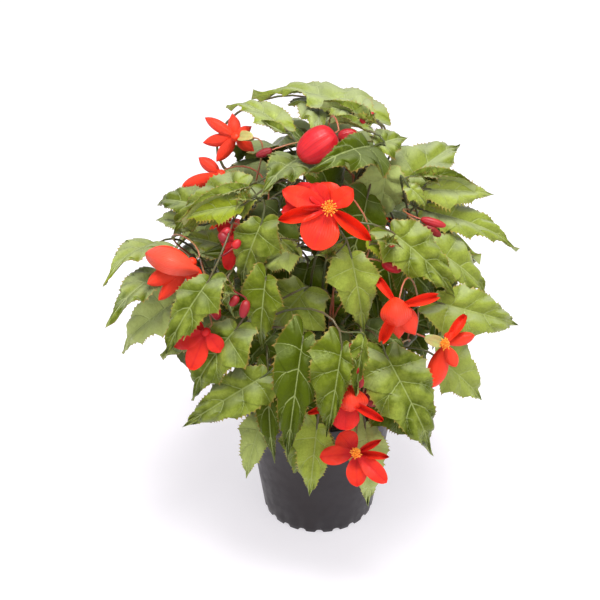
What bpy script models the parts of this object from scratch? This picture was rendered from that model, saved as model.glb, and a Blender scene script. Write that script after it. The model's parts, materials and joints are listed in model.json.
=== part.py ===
"""Potted begonia: a bushy begonia with orange-red bells in a black nursery pot.

Units are metres, +Z is up and the front of the plant faces -Y. The origin is at the middle of the
pot's foot, on the surface it stands on. Sizes marked _MM in a table are millimetres.

A leaf, bloom or bud that shows in the reference view is placed by the pixel where it lies in that
600 x 600 view and by how far it sits behind the bush's outer shell. The shell is an ellipsoid.
"""

import itertools
import math
import random
from collections import namedtuple

import bmesh
import bpy
from mathutils import Matrix, Vector
from mathutils.bvhtree import BVHTree

MM = 0.001
MERGE = 0.000002
UP = Vector((0, 0, 1))

# The pot
POT_HEIGHT = 0.118
POT_RIM_RADIUS = 0.065
POT_RIM_DEPTH = 0.011
POT_FOOT_RADIUS = 0.0443
POT_COLLAR = 0.0048
POT_WALL = 0.0016
POT_BASE_LIFT = 0.0030
POT_BASE_THICKNESS = 0.0022
POT_SEGMENTS = 60
POT_LUG_NOTCH = 0.0024
POT_HOLES = 6
POT_HOLE_RADIUS = 0.0045
POT_HOLE_RING = 0.030
POT_FOOT_TUCK = 0.0007
POT_FOOT_LAND = 0.0015
POT_LIP = 0.0009
POT_LUG_STEPS = 3
POT_DRILL_SIDES = 8
POT_SHARP_ANGLE = math.radians(35)

# The soil
SOIL_BELOW_RIM = 0.014
SOIL_BUMP = 0.0022
SOIL_SEGMENTS = 24
SOIL_RINGS = 3
SOIL_SHRINK = 0.98
SOIL_WAVES = ((1.0, 210, 0, 1.3, 0, 170), (0.6, 90, -260, 0.7, 0, 0))
GAP = 0.0003

# The stems and stalks
STEM_RADIUS = 0.0034
STEM_TIP_RADIUS = 0.0020
STEM_SIDES = 5
STEM_STEPS = 8
STEM_DEPTH = 0.024
STEM_HOLE_PLAY = 0.0006
STEM_UPRIGHT = 0.03
STALK_RADIUS = 0.0019
STALK_TIP_RADIUS = 0.0014
STALK_SIDES = 4
STALK_STEPS = 3
PEDICEL_RADIUS = 0.0013
PEDICEL_TIP_RADIUS = 0.0011
PEDICEL_STRAIGHT = 0.003
STALK_LENGTH = 0.040
STALK_STARTS = 60
STALK_FALL_COST = 0.5
STALK_BENDS = (0.008, 0.016, 0.026, 0.038)
STALK_LEAVES_STEM = 0.2
STALK_REACHES_END = 0.4
STALK_CLEARANCE = 0.0006

# The blades
LEAF_THICKNESS = 0.0008
PETAL_THICKNESS = 0.0010
CLEARANCE = 0.0010
LOBE_PEAK = 0.45
TOOTH_SWEEP = 0.25
BASE_CROWDING = 1.25

# The blooms and buds
CORE_RADIUS = 0.0034
PETAL_ROOT = 0.4
PETAL_LAYER = 0.0010
PETAL_STEP = 0.00025
STAMENS = 6
STAMEN_LENGTH = 0.008
STAMEN_COLUMN = 0.0012
STAMEN_RADIUS = 0.0006
STAMEN_SPREAD = 0.55
STAMEN_COLUMN_SHARE = 0.5
STAMEN_COLUMN_TAPER = 0.8
STAMEN_ROOT_SHARE = 0.3
STAMEN_REACH_SHARE = 0.8
STAMEN_SWELL = 1.3
OVARY_BLOOMS = ("bloom_far_right", "bloom_top_left")
OVARY_LENGTH = 0.013
OVARY_WIDTH = 0.008
BUD_LEAN = 0.010
BUD_FLATNESS = 0.75
BUD_PINCH = 0.8
BACK_BLOOM_PETALS = 5
BACK_BLOOM_DROOP = 0.5
BACK_PETAL_LENGTH = 0.034
BACK_PETAL_WIDTH = 0.015
BACK_PETAL_OUT = 0.85
BACK_PETAL_AHEAD = 0.5

# The bush's outer shell
SHELL_CENTRE = Vector((0, 0, 0.200))
SHELL_RADII = Vector((0.148, 0.130, 0.165))
BACK_REACH = 0.140

# How far a front leaf may move from its table row, and what its face turns to
FRONT_SHIFTS_MM = (0, 5, -5, 10, -10, 16, 22, 30, 38)
FRONT_LEANS_MM = (0, 6, -6, 12, -12, 20, -20, 30)
FRONT_ROLLS = (0, 12, -12, 24, -24)
FACE_OUT = 0.8
FACE_UP = 0.4
FACE_VIEW = 0.6

# The reference view: a 600-pixel square frame that looks along +Y and down
VIEW_PIXELS = 600
VIEW_FOCAL_PIXELS = 1836.0
VIEW_ELEVATION = math.radians(34.0)
VIEW_DISTANCE = 1.40
VIEW_TARGET = Vector((-0.0153, 0.0, 0.195))

Leaf = namedtuple("Leaf", "name base behind tip length width roll lobe kind")
Bloom = namedtuple("Bloom", "name centre behind spread petals faces stamens")
Bud = namedtuple("Bud", "name base tip behind width")
Stem = namedtuple("Stem", "name root bend top")

# Name, soil position, bend and top in millimetres
STEMS_MM = (
    Stem("stem_crown", (6, 8), (14, 16, 215), (30, 30, 300)),
    Stem("stem_top_left", (-10, 6), (-26, 4, 200), (-48, 0, 285)),
    Stem("stem_front", (2, -26), (2, -44, 165), (8, -72, 225)),
    Stem("stem_front_left", (-20, -17), (-42, -38, 150), (-66, -58, 205)),
    Stem("stem_left", (-31, 3), (-62, -4, 170), (-96, -8, 240)),
    Stem("stem_back_left", (-19, 24), (-42, 44, 180), (-66, 72, 260)),
    Stem("stem_back", (3, 34), (4, 60, 170), (0, 92, 255)),
    Stem("stem_back_right", (24, 22), (46, 42, 180), (70, 68, 260)),
    Stem("stem_right", (31, -3), (62, -4, 170), (94, -10, 245)),
    Stem("stem_front_right", (19, -19), (40, -42, 150), (68, -62, 205)),
)

# Base pixel, millimetres behind the shell, tip pixel, length, width, roll and the big lobe's side.
# A negative length means that the tip leans towards the viewer.
FRONT_LEAVES_MM = (
    Leaf("t1", (368, 118), 46, (251, 88), 98, 50, 4, 1, "leaf"),
    Leaf("t2", (282, 127), 34, (225, 99), 56, 28, 10, 1, "small"),
    Leaf("t3", (320, 102), 60, (318, 140), -56, 46, 0, 1, "small"),
    Leaf("t4", (298, 159), 22, (261, 193), -52, 40, 0, -1, "small"),
    Leaf("t5", (366, 116), 20, (319, 104), 46, 34, 0, 1, "young"),
    Leaf("t5b", (370, 131), 6, (328, 120), 40, 14, 30, 1, "young"),
    Leaf("t7", (372, 146), 14, (309, 169), -62, 56, 0, -1, "small"),
    Leaf("t8", (386, 168), 26, (373, 226), 58, 46, 0, 1, "small"),
    Leaf("r1", (405, 182), 34, (464, 140), 72, 46, 0, -1, "small"),
    Leaf("r2", (428, 189), 30, (499, 194), 62, 26, 20, 1, "young"),
    Leaf("r2b", (430, 202), 24, (467, 197), 32, 10, 20, 1, "young"),
    Leaf("r2c", (409, 187), 20, (428, 210), 26, 16, 0, 1, "small"),
    Leaf("r3", (425, 211), 24, (521, 249), 88, 34, 0, -1, "leaf"),
    Leaf("r4", (392, 232), 8, (457, 298), 80, 56, 0, 1, "leaf"),
    Leaf("r5", (436, 250), 40, (491, 300), 68, 42, 0, -1, "small"),
    Leaf("r6", (440, 303), 22, (528, 327), 88, 48, 0, 1, "leaf"),
    Leaf("r7", (398, 262), 46, (436, 300), 48, 34, 0, 1, "small"),
    Leaf("r8", (370, 240), 6, (422, 256), 44, 22, 0, 1, "young"),
    Leaf("r9", (440, 360), 28, (483, 401), 60, 42, 0, -1, "small"),
    Leaf("r10", (425, 235), 58, (478, 262), 58, 30, 0, 1, "small"),
    Leaf("lr1", (386, 355), 14, (437, 461), 96, 68, 0, 1, "leaf"),
    Leaf("lr2", (385, 392), 34, (424, 440), 56, 46, 0, 1, "small"),
    Leaf("c15", (365, 425), 22, (369, 512), 78, 42, 0, 1, "small"),
    Leaf("c1", (351, 255), 8, (364, 336), 68, 44, 0, 1, "small"),
    Leaf("c2", (306, 289), 40, (270, 335), 60, 58, 0, -1, "small"),
    Leaf("c3", (325, 298), 50, (330, 330), 40, 44, 0, 1, "small"),
    Leaf("c4", (262, 222), 16, (240, 292), 64, 44, 0, -1, "small"),
    Leaf("c5", (266, 277), 12, (261, 354), 66, 32, 0, 1, "small"),
    Leaf("c6", (297, 247), 6, (251, 270), 42, 26, 0, -1, "young"),
    Leaf("c11", (303, 338), 8, (286, 466), 98, 46, 0, 1, "leaf"),
    Leaf("c12", (342, 346), -6, (326, 441), 76, 54, 0, 1, "leaf"),
    Leaf("c13", (361, 349), 4, (353, 404), 44, 24, 0, 1, "small"),
    Leaf("c14", (317, 426), 12, (309, 500), 66, 34, 0, 1, "small"),
    Leaf("c16", (306, 425), 34, (300, 482), 60, 44, 0, -1, "small"),
    Leaf("c7", (237, 328), 16, (188, 402), 72, 54, 0, -1, "small"),
    Leaf("c8", (264, 376), 20, (177, 430), 84, 46, 0, -1, "leaf"),
    Leaf("c9", (261, 421), 30, (245, 481), 52, 28, 0, 1, "small"),
    Leaf("c10", (268, 370), 30, (274, 467), 78, 26, 0, 1, "small"),
    Leaf("ll1", (158, 243), 22, (102, 280), -66, 38, 0, -1, "small"),
    Leaf("ll2", (165, 272), 26, (105, 323), -70, 40, 0, -1, "small"),
    Leaf("ll3", (175, 302), 34, (115, 354), 70, 40, 0, 1, "small"),
    Leaf("ll4", (209, 280), 6, (163, 359), 74, 42, 0, -1, "small"),
    Leaf("ll5", (195, 225), 56, (153, 218), 40, 24, 0, 1, "small"),
    Leaf("ll6", (226, 246), 40, (182, 236), 40, 24, 0, 1, "small"),
    Leaf("ll7", (232, 268), 34, (216, 290), 26, 22, 0, 1, "small"),
    Leaf("l1", (200, 205), 42, (152, 201), 48, 28, 0, 1, "small"),
    Leaf("l2", (248, 186), 16, (165, 236), 84, 50, 0, -1, "leaf"),
    Leaf("l3", (243, 205), 20, (171, 220), 60, 24, 0, 1, "young"),
    Leaf("l4", (215, 297), 2, (181, 340), 44, 12, 20, 1, "young"),
)

# Centre pixel, millimetres behind the shell, how far the tips lie behind the centre,
# each petal's tip pixel and width, and where the pedicel arrives from
BLOOMS_MM = (
    Bloom("bloom_centre", (329, 208), -12, -5,
          (((278, 220), 16), ((313, 248), 27), ((371, 240), 16), ((322, 183), 22),
           ((352, 190), 14), ((284, 191), 15)), (0.0, 1.0, 0.2), True),
    Bloom("bloom_top_left", (236, 137), 34, 10,
          (((204, 117), 10), ((232, 112), 11), ((202, 143), 11), ((216, 162), 11),
           ((255, 152), 11), ((252, 126), 9)), (0.8, -0.6, 0.3), False),
    Bloom("bloom_left_high", (221, 174), 60, 6,
          (((198, 157), 11), ((181, 187), 12), ((226, 196), 12)),
          (0.6, 0.8, 0.2), False),
    Bloom("bloom_left", (192, 262), 8, 4,
          (((145, 253), 19), ((147, 284), 15), ((158, 301), 12), ((196, 287), 14)),
          (0.8, 0.3, 0.5), False),
    Bloom("bloom_left_low", (206, 332), 2, 4,
          (((171, 345), 14), ((190, 371), 15), ((186, 320), 10), ((222, 352), 12)),
          (0.6, 0.6, 0.5), False),
    Bloom("bloom_right", (398, 306), -8, 14,
          (((372, 272), 10), ((438, 296), 12), ((381, 343), 13), ((416, 336), 19),
           ((399, 340), 18)), (0.2, 0.7, 0.8), False),
    Bloom("bloom_far_right", (445, 344), 4, 2,
          (((475, 335), 11), ((466, 314), 12), ((432, 388), 17), ((456, 367), 11),
           ((452, 332), 9)), (-0.8, -0.1, 0.4), True),
    Bloom("bloom_low", (346, 400), -10, 4,
          (((345, 431), 20), ((384, 421), 10), ((307, 414), 8), ((333, 391), 13),
           ((358, 387), 11)), (0.0, 1.0, -0.25), False),
    Bloom("bloom_lowest", (356, 453), -14, -4,
          (((320, 457), 14), ((340, 433), 18), ((381, 440), 8), ((389, 457), 9),
           ((357, 486), 15), ((386, 482), 13)), (0.0, 1.0, -0.25), True),
    Bloom("bloom_inner_left", (236, 238), 24, 6,
          (((227, 271), 12), ((217, 222), 10), ((220, 244), 11), ((243, 262), 10)),
          (0.6, 0.8, 0.3), False),
)

# Pixels of the stalk end and of the tip, millimetres behind the shell, width
BUDS_MM = (
    Bud("bud_large", (335, 133), (299, 158), -8, 24),
    Bud("bud_crimson", (338, 137), (357, 133), 14, 9),
    Bud("bud_dark_left", (272, 150), (256, 156), 24, 6),
    Bud("bud_right_upper", (421, 219), (446, 226), 14, 6),
    Bud("bud_right_lower", (424, 226), (441, 236), 24, 6),
    Bud("bud_behind_bloom", (352, 198), (341, 186), 10, 8),
    Bud("bud_dark_low", (369, 388), (373, 407), 6, 10),
    Bud("bud_middle_right", (382, 262), (401, 271), 16, 8),
    Bud("bud_left", (212, 300), (218, 320), 22, 8),
)

# The hidden back of the plant, by rule
BACK_LEAVES = 27
BACK_FROM = -10
BACK_SPAN = 200
BACK_TURN = 0.618
BACK_START = 0.3
BACK_SIDE_FALL = 0.35
BACK_LENGTHS = (0.074, 0.104)
BACK_WIDTH_SHARES = (0.66, 0.80)
BACK_SWING = 25
BACK_DROOPS = (62, 20)
BACK_FACE_UP = 0.8
BACK_LOWEST = 0.100
BACK_HIGHEST = 0.290
BACK_SEED = 7
BACK_INWARD = (0, 5, 10, 16, 24)
BACK_TURNS = (0, 4, -4, 8, -8, 14, -14)
BACK_TILTS = (0, 6, -6, 12, -12)
BACK_ROLLS = (0, 12, -12)
SIDE_TUCK = 0.88
BACK_BLOOMS_MM = (
    ("bloom_back_left", (-76, 98, 205)),
    ("bloom_back_right", (72, 104, 205)),
    ("bloom_back_low", (16, 124, 190)),
)

# Colour and roughness
POT_PAINT = ((0.035, 0.032, 0.036), 0.4)
SOIL_PAINT = ((0.10, 0.06, 0.035), 0.95)
LEAF_PAINT = ((0.16, 0.27, 0.06), 0.45)
PETAL_PAINT = ((0.88, 0.06, 0.03), 0.5)
BUD_PAINT = ((0.55, 0.02, 0.04), 0.45)
STAMEN_PAINT = ((0.95, 0.45, 0.05), 0.5)

# How an outline is cut: ribs along the midrib, lobe lengths and half widths of the big and the small
# side, tooth depth, arch of the midrib, fold of the halves, where it is widest, how much it tapers
Kind = namedtuple("Kind", "ribs lobes halves tooth arch fold widest taper thickness")
KINDS = {
    "leaf": Kind(5, (0.30, 0.15), (0.50, 0.42), 0.13, 0.09, 0.24, 0.60, 0.35, LEAF_THICKNESS),
    "small": Kind(4, (0.28, 0.12), (0.50, 0.42), 0.15, 0.09, 0.24, 0.60, 0.35, LEAF_THICKNESS),
    "back": Kind(3, (0.28, 0.12), (0.50, 0.42), 0.12, 0.09, 0.24, 0.60, 0.35, LEAF_THICKNESS),
    "young": Kind(4, (0.16, 0.08), (0.52, 0.46), 0.16, 0.06, 0.45, 0.62, 0.25, LEAF_THICKNESS),
    "petal": Kind(2, (0.0, 0.0), (0.50, 0.50), 0.0, -0.08, 0.20, 0.86, 0.0, PETAL_THICKNESS),
}


def clear_scene():
    """Removes what a new Blender file starts with."""
    for item in list(bpy.data.objects):
        bpy.data.objects.remove(item)


def finish_paint(name, colour, roughness):
    """One Principled material."""
    paint = bpy.data.materials.new(name)
    paint.use_nodes = True
    shader = paint.node_tree.nodes["Principled BSDF"]
    shader.inputs["Base Color"].default_value = (*colour, 1.0)
    shader.inputs["Roughness"].default_value = roughness
    return paint


def add_object(name, verts, faces, paint):
    """One mesh object from world positions, its faces turned outward."""
    mesh = bpy.data.meshes.new(name)
    mesh.from_pydata(verts, [], faces)
    shape = bmesh.new()
    shape.from_mesh(mesh)
    bmesh.ops.remove_doubles(shape, verts=shape.verts, dist=MERGE)
    bmesh.ops.recalc_face_normals(shape, faces=shape.faces)
    shape.to_mesh(mesh)
    shape.free()
    mesh.materials.append(paint)
    item = bpy.data.objects.new(name, mesh)
    bpy.context.scene.collection.objects.link(item)
    return item


def apply_modifiers(item):
    """Turns an object's evaluated mesh into its own mesh."""
    graph = bpy.context.evaluated_depsgraph_get()
    mesh = bpy.data.meshes.new_from_object(item.evaluated_get(graph))
    mesh.name = item.name
    item.modifiers.clear()
    item.data = mesh


def combine(item, others, operation, solver="EXACT"):
    """Joins or cuts an object with a group of others by one Boolean, and removes the others."""
    group = bpy.data.collections.new(item.name + "_group")
    bpy.context.scene.collection.children.link(group)
    for other in others:
        for owner in list(other.users_collection):
            owner.objects.unlink(other)
        group.objects.link(other)
    boolean = item.modifiers.new(operation.lower(), "BOOLEAN")
    boolean.operand_type = "COLLECTION"
    boolean.collection = group
    boolean.operation = operation
    boolean.solver = solver
    apply_modifiers(item)
    for other in list(group.objects):
        bpy.data.objects.remove(other)
    bpy.data.collections.remove(group)


def turned(profile, segments):
    """Verts and quads of a profile of (radius, height), from axis to axis, turned about Z."""
    verts = []
    for step in range(segments):
        angle = 2 * math.pi * step / segments
        for radius, height in profile:
            verts.append(Vector((radius * math.cos(angle), radius * math.sin(angle), height)))
    rows = len(profile)
    faces = []
    for step in range(segments):
        here = step * rows
        there = (step + 1) % segments * rows
        for row in range(rows - 1):
            faces.append((here + row, there + row, there + row + 1, here + row + 1))
    return verts, faces


def tube(points, radii, sides):
    """Verts and faces of a closed tube along points, without twist."""
    verts = []
    faces = []
    count = len(points)
    across = None
    for index, point in enumerate(points):
        ahead = points[min(index + 1, count - 1)] - points[max(index - 1, 0)]
        ahead.normalize()
        if across is None:
            across = ahead.orthogonal().normalized()
        across = (across - ahead * across.dot(ahead)).normalized()
        beside = ahead.cross(across)
        for side in range(sides):
            angle = 2 * math.pi * side / sides
            spoke = across * math.cos(angle) + beside * math.sin(angle)
            verts.append(point + spoke * radii[index])
    for index in range(count - 1):
        for side in range(sides):
            after = (side + 1) % sides
            here = index * sides
            faces.append((here + side, here + after, here + sides + after, here + sides + side))
    faces.append(tuple(range(sides)))
    faces.append(tuple(range((count - 1) * sides, count * sides)))
    return verts, faces


def bezier(ends, share):
    """A point on a cubic through four control points."""
    start, first, second, end = ends
    left = 1 - share
    return (start * left ** 3 + first * (3 * left * left * share)
            + second * (3 * left * share * share) + end * share ** 3)


def sight_line(pixel):
    """Where the reference view's eye is and the direction to a pixel, per metre of distance."""
    back = Vector((0, -math.cos(VIEW_ELEVATION), math.sin(VIEW_ELEVATION)))
    over = Vector((0, math.sin(VIEW_ELEVATION), math.cos(VIEW_ELEVATION)))
    half = VIEW_PIXELS / 2
    right = (pixel[0] - half) / VIEW_FOCAL_PIXELS
    down = (pixel[1] - half) / VIEW_FOCAL_PIXELS
    ray = Vector((1, 0, 0)) * right - over * down - back
    return VIEW_TARGET + back * VIEW_DISTANCE, ray.normalized()


def on_shell(pixel, behind):
    """The point that a pixel shows, a distance behind the bush's outer shell."""
    eye, ray = sight_line(pixel)
    start = Vector(a / b for a, b in zip(eye - SHELL_CENTRE, SHELL_RADII))
    along = Vector(a / b for a, b in zip(ray, SHELL_RADII))
    square = along.dot(along)
    middle = start.dot(along)
    depth = middle * middle - square * (start.dot(start) - 1)
    reach = (-middle - math.sqrt(max(depth, 0))) / square
    return eye + ray * (reach + behind)


def on_sight_line(pixel, anchor, length):
    """The point on a pixel's sight line at a length from an anchor, nearer the eye if negative."""
    eye, ray = sight_line(pixel)
    nearest = (anchor - eye).dot(ray)
    miss = (eye + ray * nearest - anchor).length
    slide = math.sqrt(max(length * length - miss * miss, 0))
    return eye + ray * (nearest + math.copysign(slide, length))


def outward(point):
    """The shell's outward direction at a point."""
    away = Vector(a / (b * b) for a, b in zip(point - SHELL_CENTRE, SHELL_RADII))
    return away.normalized()


class Blade:
    """A leaf or petal: its axis, facing and outline."""

    def __init__(self, base, tip, facing, width, kind, lobe=1, roll=0.0):
        self.base = base
        self.length = (tip - base).length
        self.axis = (tip - base).normalized()
        flat = (facing - self.axis * facing.dot(self.axis)).normalized()
        self.normal = Matrix.Rotation(roll, 3, self.axis) @ flat
        self.side = self.axis.cross(self.normal)
        self.width = width
        self.kind = kind
        self.lobe = lobe

    def place(self, along, across):
        """A point of the middle surface; along runs 0 to 1, across is in metres."""
        kind = self.kind
        rise = kind.arch * self.length * 4 * along * (1 - along) + kind.fold * abs(across)
        return self.base + self.axis * along * self.length + self.side * across + self.normal * rise

    def edge(self, share, hand, tooth):
        """A point of the outline on one hand, from the stalk at 0 to the tip at 1."""
        kind = self.kind
        which = 0 if hand == self.lobe else 1
        lobe = kind.lobes[which] * math.sin(math.pi * share ** LOBE_PEAK) * (1 - share) ** 2
        swell = math.sin(math.pi * share ** kind.widest)
        swell *= 1 - kind.taper * share
        across = self.width * kind.halves[which] * swell * (1 + kind.tooth * tooth)
        along = share - lobe + TOOTH_SWEEP * kind.tooth * tooth * (1 - share) * share
        return self.place(along, hand * across)

    def mesh(self, extra=0.0):
        """Verts and faces of the closed blade, both faces split alike."""
        ribs = self.kind.ribs
        steps = 2 * ribs
        middle = [self.place(rib / ribs, 0.0) for rib in range(ribs + 1)]
        sides = []
        for hand in (1, -1):
            line = []
            for step in range(1, steps):
                share = (step / steps) ** BASE_CROWDING
                tooth = 1 if step % 2 else -1
                line.append(self.edge(share, hand, tooth))
            sides.append(line)
        points = middle + sides[0] + sides[1]
        half = self.normal * (self.kind.thickness / 2 + extra)
        count = len(points)
        verts = [point + half for point in points] + [point - half for point in points]
        faces = []
        for hand in (0, 1):
            ring = [0]
            ring += [ribs + 1 + hand * (steps - 1) + step for step in range(steps - 1)]
            ring += [ribs]
            for rib in range(ribs):
                low, high = rib, rib + 1
                first, second, third = ring[2 * rib:2 * rib + 3]
                for face in ((low, first, second), (low, second, high), (high, second, third)):
                    if len(set(face)) == 3:
                        faces.append(face)
                        faces.append(tuple(count + corner for corner in reversed(face)))
            for step in range(steps):
                a, b = ring[step], ring[step + 1]
                faces.append((a, b, count + b, count + a))
        return verts, faces

    def stalked(self, points, radii):
        """Verts and faces of the blade and its four-sided stalk, grown together at the base."""
        verts, faces = self.mesh()
        low = len(verts) // 2
        ring = [0, len(verts), low, len(verts) + 1]
        spokes = (self.normal, self.side, -self.normal, -self.side)
        verts.extend((self.base, self.base))
        for corner, spoke in zip(ring, spokes):
            verts[corner] = self.base + spoke * radii[-1]
        rim = [face for face in faces if len(face) == 4 and 0 in face]
        for face in rim:
            faces.remove(face)
            outer = next(corner for corner in face if corner not in (0, low) and corner < low)
            hand = (verts[outer] - self.base).dot(self.side)
            beside = ring[1] if hand > 0 else ring[3]
            faces += [(0, beside, outer), (beside, low + outer, outer), (beside, low, low + outer)]
        across = self.normal
        for index in range(len(points) - 2, -1, -1):
            ahead = (points[index + 1] - points[max(index - 1, 0)]).normalized()
            across = (across - ahead * across.dot(ahead)).normalized()
            beside = ahead.cross(across)
            after = list(range(len(verts), len(verts) + 4))
            for spoke in (across, beside, -across, -beside):
                verts.append(points[index] + spoke * radii[index])
            for side in range(4):
                turn = (side + 1) % 4
                faces.append((ring[side], ring[turn], after[turn], after[side]))
            ring = after
        faces.append(tuple(ring))
        return verts, faces


class Crowd:
    """Everything placed so far, for testing whether something new is clear of it."""

    def __init__(self):
        self.verts = []
        self.faces = []
        self.owners = []
        self.tree = None

    def add(self, owner, verts, faces):
        """Puts a shape among the placed ones under its owner's name."""
        start = len(self.verts)
        self.verts.extend(verts)
        self.faces.extend(tuple(start + corner for corner in face) for face in faces)
        self.owners.extend([owner] * len(faces))
        self.tree = BVHTree.FromPolygons(self.verts, self.faces)

    def hits(self, verts, faces, ignore=()):
        """How many face pairs of a new shape touch other owners' faces."""
        pairs = BVHTree.FromPolygons(verts, faces).overlap(self.tree)
        return sum(1 for _, face in pairs if self.owners[face] not in ignore)


def nudges(*ranges):
    """Combinations of small changes, the smallest changes first."""
    combined = itertools.product(*ranges)
    return sorted(combined, key=lambda change: sum(abs(value) for value in change))


def bloom_blades(centre, petals, facing):
    """The petals of one bloom, in two layers by turns, from their tips and widths."""
    first = facing.orthogonal()
    second = facing.cross(first)

    def bearing(petal):
        away = petal[0] - centre
        return math.atan2(away.dot(second), away.dot(first))

    blades = []
    for number, (tip, width) in enumerate(sorted(petals, key=bearing)):
        level = (PETAL_LAYER if number % 2 else -PETAL_LAYER)
        level += (number - (len(petals) - 1) / 2) * PETAL_STEP
        layer = facing * level
        root = centre + (tip - centre).normalized() * CORE_RADIUS * PETAL_ROOT + layer
        blades.append(Blade(root, tip + layer * 2, facing, width, KINDS["petal"]))
    return blades


def ball(centre, radii, axis, segments, rings, pinch=1.0):
    """Verts and faces of an egg shape along an axis, pointed where pinch is below one."""
    profile = [(0.0, -1.0)]
    for ring in range(1, rings):
        angle = math.pi * ring / rings
        profile.append((math.sin(angle) ** pinch, -math.cos(angle)))
    profile.append((0.0, 1.0))
    turn = UP.rotation_difference(axis).to_matrix()
    verts, faces = turned(profile, segments)
    placed = [centre + turn @ Vector((v.x * radii[0], v.y * radii[1], v.z * radii[2])) for v in verts]
    return placed, faces


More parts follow.
